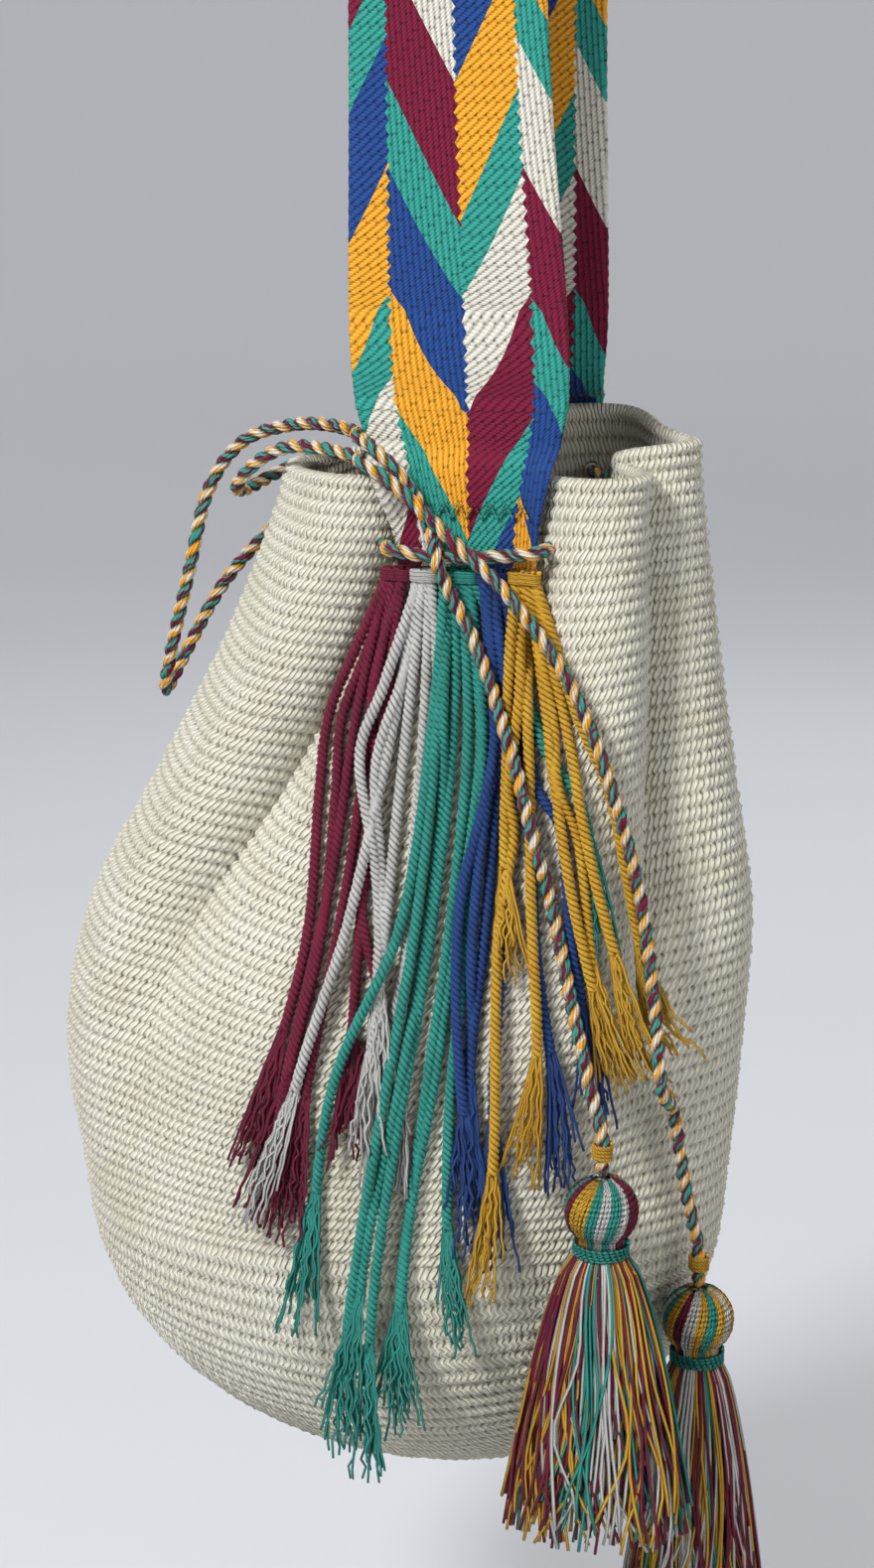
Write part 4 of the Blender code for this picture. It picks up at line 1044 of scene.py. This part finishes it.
def crochet_cotton():
    """Off-white crochet of a thick soft cotton yarn.

    Its texture coordinates count stitches and rounds. Each stitch shows as two slanted strands
    about 2.5 mm apart, a bump that catches the light on the round's ridge, with painted shade
    between them; the valleys between rounds and the small holes beside each stitch get painted
    shade, darker and browner. Loose fibres, drawn about 0.8 mm wide so that they show, break up
    every highlight.
    """
    mat, tree, shader = cotton("crochet_cotton_offwhite", 0.9, 0.2)
    split = add(tree, "SeparateXYZ", {0: add(tree, "UVMap", uv_map="UVMap")})
    place = add(tree, "TexCoord").outputs["Object"]
    fuzz = add(tree, "TexNoise", {"Vector": place, "Scale": 1300.0, "Detail": 3.0,
                                  "Roughness": 0.7})
    wobble = add(tree, "TexNoise", {"Vector": place, "Scale": 260.0, "Detail": 2.0})
    groove = grooves(tree, split.outputs[1], math.pi, 5.0)
    lower = add(tree, "Math", {0: split.outputs[1]}, operation="FRACT")
    lower = add(tree, "Math", {0: lower}, operation="ROUND")
    hole = add(tree, "Math", {0: lower, 1: STITCH_SHIFT, 2: split.outputs[0]},
               operation="MULTIPLY_ADD")
    hole = add(tree, "Math", {0: hole, 1: 0.5}, operation="PINGPONG")
    hole = add(tree, "MapRange", {0: hole, 1: 0.32, 2: 0.5, 3: 0.0, 4: 1.0})
    hole = add(tree, "Math", {0: hole, 1: groove}, operation="MULTIPLY")
    strand = add(tree, "Math", {0: split.outputs[1], 1: 1.3}, operation="MULTIPLY")
    strand = add(tree, "Math", {0: wobble, 1: 0.8, 2: strand}, operation="MULTIPLY_ADD")
    strand = add(tree, "Math", {0: split.outputs[0], 1: 2.0, 2: strand},
                 operation="MULTIPLY_ADD")
    strand = add(tree, "Math", {0: strand, 1: 0.5}, operation="PINGPONG")
    strand = add(tree, "MapRange", {0: strand, 1: 0.0, 2: 0.38, 3: 0.0, 4: 1.0},
                 interpolation_type="SMOOTHERSTEP")
    blotch = add(tree, "TexNoise", {"Vector": place, "Scale": 45.0, "Detail": 4.0})
    tone = add(tree, "ValToRGB", {0: blotch})
    fill(tone, (("#E4DFC8", 0.3), ("#F4F0DF", 0.7)))
    # Painted shade between the strands, in the valleys between rounds and in the holes beside each
    # stitch
    painted_shade = add(tree, "Math", {0: strand, 1: -0.2, 2: 0.2}, operation="MULTIPLY_ADD")
    painted_shade = add(tree, "Math", {0: groove, 1: 0.2, 2: painted_shade}, operation="MULTIPLY_ADD")
    painted_shade = add(tree, "Math", {0: hole, 1: 0.6, 2: painted_shade}, operation="MULTIPLY_ADD",
               use_clamp=True)
    # Base colour mixed towards a dark brown by the painted shade
    shade = add(tree, "Mix", {0: painted_shade, 6: tone, 7: linear("#5C5239")}, data_type="RGBA")
    rise = add(tree, "Math", {0: fuzz, 1: 0.5, 2: strand}, operation="MULTIPLY_ADD")
    bump = add(tree, "Bump", {"Height": rise, "Strength": 0.9, "Distance": 1.0 * MM})
    feed(tree, shader, {"Base Color": shade.outputs[2], "Normal": bump})
    return mat


def strap_cotton():
    """Strap woven from dyed cotton yarn: flat bands of colour under rows of slanted floats.

    A float is a yarn that passes over several others. Where it dives under, a short dip shows as
    a bump with painted shade, painted shade also lies in the grooves between lanes, and fine
    slanted plies run along it.
    """
    mat, tree, shader = cotton("woven_cotton_strap", 0.8, 0.08)
    bands = add(tree, "SeparateXYZ", {0: add(tree, "UVMap", uv_map="UVMap")})
    bands = add(tree, "Math", {0: bands}, operation="FRACT")
    dyed = add(tree, "ValToRGB", {0: bands})
    dyed.color_ramp.interpolation = "CONSTANT"
    fill(dyed, [(COLOURS[name], start) for name, start in BANDS])
    floats = add(tree, "SeparateXYZ", {0: add(tree, "UVMap", uv_map="floats")})
    across = add(tree, "Math", {0: floats.outputs[0], 1: FLOAT_WIDTH}, operation="DIVIDE")
    lane = add(tree, "Math", {0: across}, operation="FLOOR")
    groove = grooves(tree, across, math.pi, 4.0)
    dip = add(tree, "Math", {0: lane, 1: FLOAT_SHIFT, 2: floats.outputs[1]}, operation="MULTIPLY_ADD")
    dip = add(tree, "Math", {0: dip, 1: FLOAT_LENGTH}, operation="DIVIDE")
    dip = add(tree, "Math", {0: dip, 1: 0.5}, operation="PINGPONG")
    dip = add(tree, "MapRange", {0: dip, 1: 0.02, 2: 0.08, 3: 1.0, 4: 0.0})
    side = add(tree, "Math", {0: groove, 1: 0.6, 2: 0.4}, operation="MULTIPLY_ADD")
    dip = add(tree, "Math", {0: dip, 1: side}, operation="MULTIPLY")
    ply = add(tree, "Math", {0: across, 1: 1.7, 2: floats.outputs[1]}, operation="MULTIPLY_ADD")
    ply = add(tree, "Math", {0: ply, 1: 2 * math.pi / FLOAT_PLY}, operation="MULTIPLY")
    ply = add(tree, "Math", {0: ply}, operation="SINE")
    # Painted shade in the dips where floats dive under and in the grooves between lanes
    painted_shade = add(tree, "Math", {0: dip, 1: 1.4, 2: groove}, operation="MULTIPLY_ADD")
    painted_shade = add(tree, "Math", {0: painted_shade, 1: 0.36}, operation="MULTIPLY", use_clamp=True)
    # Base colour mixed towards black by the painted shade
    shade = add(tree, "Mix", {0: painted_shade, 6: dyed, 7: linear("#000000")}, data_type="RGBA")
    low = add(tree, "Math", {0: groove, 1: dip}, operation="ADD")
    level = add(tree, "Math", {0: 1.0, 1: low}, operation="SUBTRACT")
    rise = add(tree, "Math", {0: ply, 1: 0.22, 2: level}, operation="MULTIPLY_ADD")
    bump = add(tree, "Bump", {"Height": rise, "Strength": 0.9, "Distance": 0.5 * MM})
    feed(tree, shader, {"Base Color": shade.outputs[2], "Normal": bump})
    return mat


def twisted_cotton(name, sheen, plies, along):
    """Material for a twisted cord, with its texture coordinates, place and painted shade.

    The texture coordinates run once around the cord and in mm along it. The strands of its
    plies show as a fine bump with loose fibres, with painted shade between them, deepest where two
    plies meet.
    """
    mat, tree, shader = cotton(name, 0.75, sheen)
    uv = add(tree, "UVMap", uv_map="UVMap")
    strands = add(tree, "VectorMath", {0: uv, 1: along}, operation="DOT_PRODUCT").outputs[1]
    strands = add(tree, "Math", {0: strands, 1: 0.5}, operation="PINGPONG")
    strands = add(tree, "MapRange", {0: strands, 1: 0.0, 2: 0.4, 3: 0.0, 4: 1.0},
                  interpolation_type="SMOOTHERSTEP")
    place = add(tree, "TexCoord").outputs["Object"]
    fuzz = add(tree, "TexNoise", {"Vector": place, "Scale": 1800.0, "Detail": 2.0})
    rise = add(tree, "Math", {0: fuzz, 1: 0.8, 2: strands}, operation="MULTIPLY_ADD")
    bump = add(tree, "Bump", {"Height": rise, "Strength": 0.9, "Distance": 0.4 * MM})
    feed(tree, shader, {"Normal": bump})
    valley = grooves(tree, add(tree, "SeparateXYZ", {0: uv}), plies * math.pi, 6.0)
    # Painted shade between the strands, deepest in the grooves where two plies meet
    painted_shade = add(tree, "Math", {0: strands, 1: -0.22, 2: 0.22}, operation="MULTIPLY_ADD")
    painted_shade = add(tree, "Math", {0: valley, 1: 0.7, 2: painted_shade}, operation="MULTIPLY_ADD",
               use_clamp=True)
    return mat, tree, shader, uv, place, painted_shade


def plied_cotton(name, colour):
    """Cotton yarn of three plies in one dye, a little paler and darker in blotches."""
    mat, tree, shader, _, place, painted_shade = twisted_cotton(name, 0.05, 3, (9.0, 0.9, 0.0))
    blotch = add(tree, "TexNoise", {"Vector": place, "Scale": 120.0, "Detail": 3.0})
    dyed = linear(colour)[:3]
    tone = add(tree, "Mix", {0: blotch, 6: [c * 0.8 for c in dyed] + [1.0],
                             7: [min(1.0, c * 1.6 + 0.012) for c in dyed] + [1.0]},
               data_type="RGBA")
    # Base colour mixed towards a much darker tone of the dye by the painted shade of the strands and
    # grooves
    shade = add(tree, "Mix", {0: painted_shade, 6: tone.outputs[2], 7: [c * 0.12 for c in dyed] + [1.0]},
                data_type="RGBA")
    feed(tree, shader, {"Base Color": shade.outputs[2]})
    return mat


def rope_cotton():
    """Drawstring cotton: one ply of burgundy and teal, one of gold and cream.

    The yarns of each ply turn past each other, so every colour shows as slanted patches a few
    millimetres long, with a line of painted shade where the two plies meet.
    """
    mat, tree, shader, uv, place, painted_shade = twisted_cotton(
        "twisted_cotton_four_colours", 0.08, 2, (10.0, 0.8, 0.0))
    ply = add(tree, "Math", {0: add(tree, "SeparateXYZ", {0: uv}), 1: 2.0}, operation="MULTIPLY")
    ply = add(tree, "Math", {0: ply}, operation="FLOOR")
    wobble = add(tree, "TexNoise", {"Vector": place, "Scale": 160.0, "Detail": 1.5})
    turn = add(tree, "VectorMath", {0: uv, 1: (4.0, 1 / CORD_PATCH, 0.0)}, operation="DOT_PRODUCT")
    turn = add(tree, "Math", {0: wobble, 1: 2.6, 2: turn.outputs[1]}, operation="MULTIPLY_ADD")
    turn = add(tree, "Math", {0: turn}, operation="FRACT")
    turn = add(tree, "Math", {0: turn, 1: 0.5}, operation="GREATER_THAN")
    pick = add(tree, "Math", {0: ply, 1: 2.0, 2: turn}, operation="MULTIPLY_ADD")
    pick = add(tree, "Math", {0: pick, 1: 0.25, 2: 0.125}, operation="MULTIPLY_ADD")
    dyed = add(tree, "ValToRGB", {0: pick})
    dyed.color_ramp.interpolation = "CONSTANT"
    fill(dyed, [(COLOURS[name], k / 4) for k, name in enumerate(CORD_COLOURS)])
    # Base colour mixed towards a near-black brown by the painted shade of the strands and ply grooves
    shade = add(tree, "Mix", {0: painted_shade, 6: dyed, 7: linear("#1A1210")}, data_type="RGBA")
    feed(tree, shader, {"Base Color": shade.outputs[2]})
    return mat


# Floor and light

def add_stage():
    """Floor of matt pale grey paper that rises into a wall all round, far from the bag.

    A little glow that only the camera and mirrors see keeps it pale without lighting the bag.
    """
    profile = [(0.0, -1.02), (2.6, -1.02), (3.2, -1.0), (3.7, -0.86), (4.05, -0.55), (4.2, 0.0),
               (4.25, 3.0)]
    sides = 72
    verts = [(r * math.cos(2 * math.pi * i / sides), r * math.sin(2 * math.pi * i / sides), z)
             for r, z in profile[1:] for i in range(sides)]
    verts.append((0, 0, profile[0][1]))
    faces = []
    for row in range(len(profile) - 2):
        for i in range(sides):
            after = (i + 1) % sides
            faces.append((row * sides + i, row * sides + after, (row + 1) * sides + after,
                          (row + 1) * sides + i))
    faces += [(i, len(verts) - 1, (i + 1) % sides) for i in range(sides)]
    mesh = bpy.data.meshes.new("backdrop")
    mesh.from_pydata(verts, [], [f[::-1] for f in faces])
    mesh.shade_smooth()
    backdrop = bpy.data.objects.new("backdrop", mesh)
    bpy.context.scene.collection.objects.link(backdrop)
    paper = bpy.data.materials.new("matt_paper_pale_grey")
    paper.use_nodes = True
    tree = paper.node_tree
    path = add(tree, "LightPath").outputs
    seen = add(tree, "Math", {0: path["Is Camera Ray"], 1: path["Is Glossy Ray"]},
               operation="MAXIMUM")
    seen = add(tree, "Math", {0: seen, 1: path["Is Transmission Ray"]}, operation="MAXIMUM")
    glow = add(tree, "Math", {0: seen, 1: 0.22}, operation="MULTIPLY")
    feed(tree, tree.nodes["Principled BSDF"],
         {"Base Color": linear("#C4C6CA"), "Roughness": 0.95, "Specular IOR Level": 0.2,
          "Emission Color": linear("#E2E3E6"), "Emission Strength": glow})
    mesh.materials.append(paper)


def add_lights():
    """Soft room with a key lamp from the upper left, a fill on the right and a lamp behind."""
    world = bpy.data.worlds.new("soft_room")
    bpy.context.scene.world = world
    world.use_nodes = True
    tree = world.node_tree
    feed(tree, tree.nodes["Background"], {"Color": linear("#F0F0F2"), "Strength": 0.5})
    for name, place, size, power in (("key", (-0.9, -1.6, 0.9), 0.5, 54),
                                     ("fill", (1.6, -1.5, -0.3), 1.6, 12),
                                     ("back", (0.4, 1.9, 0.9), 1.4, 16)):
        data = bpy.data.lights.new(name, "AREA")
        data.size = size
        data.energy = power
        lamp = bpy.data.objects.new(name, data)
        bpy.context.scene.collection.objects.link(lamp)
        lamp.location = place
        aim = Vector((0, 0, -0.6)) - Vector(place)
        lamp.rotation_mode = "QUATERNION"
        lamp.rotation_quaternion = aim.to_track_quat("-Z", "Y")
    bpy.context.scene.view_settings.view_transform = "Standard"


def add_run(material):
    """Drawstring through the mouth, open at the left, and the part of its path in front."""
    run = drawstring_run()
    first, last = (round(a / 360 * len(run)) for a in RUN_OPENING)
    open_run = smooth_curve(np.vstack([run[last:], run[:first + 1]]), 1.3 * MM)
    add_rope("drawstring_run_rope", open_run, "drawstring_rim_run", material)
    return run[run[:, 1] < 0]


def add_tail(side, surface, rope, yarns):
    """One free end of the drawstring, laid over the fringe, with its tassel and whippings."""
    route, half_width, half_depth, lean = TAILS[side]
    path, record = surface.lay([(x * MM, z * MM, h * MM, *free) for x, z, h, *free in route],
                               CORD_RADIUS, False)
    surface.cords = np.vstack([surface.cords, record])
    x, z, h = route[-1]
    pivot = Vector((x * MM, -h * MM, z * MM))
    above = path[path[:, 2] > pivot.z + 12 * MM]
    path = np.vstack([rounded(above), pivot + Vector((0, 0, 11 * MM)), pivot,
                      pivot - Vector((0, 0, CORD_RADIUS))])
    tail, points = add_rope("drawstring_tail_rope_" + side, path, "drawstring_tail_" + side, rope)
    tassel = "tassel_" + side
    add_tassel(tassel, pivot, half_width * MM, half_depth * MM, lean * MM,
               [yarns[name] for name in TASSEL_COLOURS])
    add_coil(tassel + "_neck_coil", pivot - Vector((0, 0, NECK_DEPTH)), NECK_RADIUS,
             0.75 * MM, 4, 4.4 * MM, tassel + "_neck_wrap", yarns["teal"])
    add_coil(tassel + "_cord_coil", pivot + Vector((0, 0, 7 * MM)), CORD_RADIUS, 0.7 * MM,
             4, 5 * MM, tassel + "_cord_whipping", yarns["gold"])


def main():
    add_camera()
    crochet = crochet_cotton()
    strap_mat = strap_cotton()
    rope = rope_cotton()
    yarns = {name: plied_cotton("plied_cotton_" + name, dye) for name, dye in COLOURS.items()}

    # Cords first: the run through the mouth, then what the tails lie on, then the tails
    front, back = (Surface(side, [NODES["bag_body"], NODES["shoulder_strap"]])
                   for side in (FRONT, BACK))
    ahead = add_run(rope)
    for side, surface in (("front", front), ("back", back)):
        add_stitches(side + "_seam_stitches", surface, list(yarns.values()))
    front.cords = np.vstack([front.cords, np.column_stack(
        [ahead[:, 0], ahead[:, 2], -ahead[:, 1], np.full(len(ahead), CORD_RADIUS)])])
    for side, surface, groups in (("front", front, FRONT_FRINGE), ("back", back, BACK_FRINGE)):
        for colour, cords in groups.items():
            more = FRONT_MORE[colour] if side == "front" else ()
            add_fringe("_".join((side, "fringe", colour)), surface, cords, more,
                                      yarns[colour])
    for side in TAILS:
        add_tail(side, front, rope, yarns)

    add_bag(crochet)
    strap = add_strap(strap_mat)
    add_stage()
    add_lights()

    for obj in NODES.values():
        if not obj.hide_render:
            raise RuntimeError(obj.name + " shows its plain solid")


main()
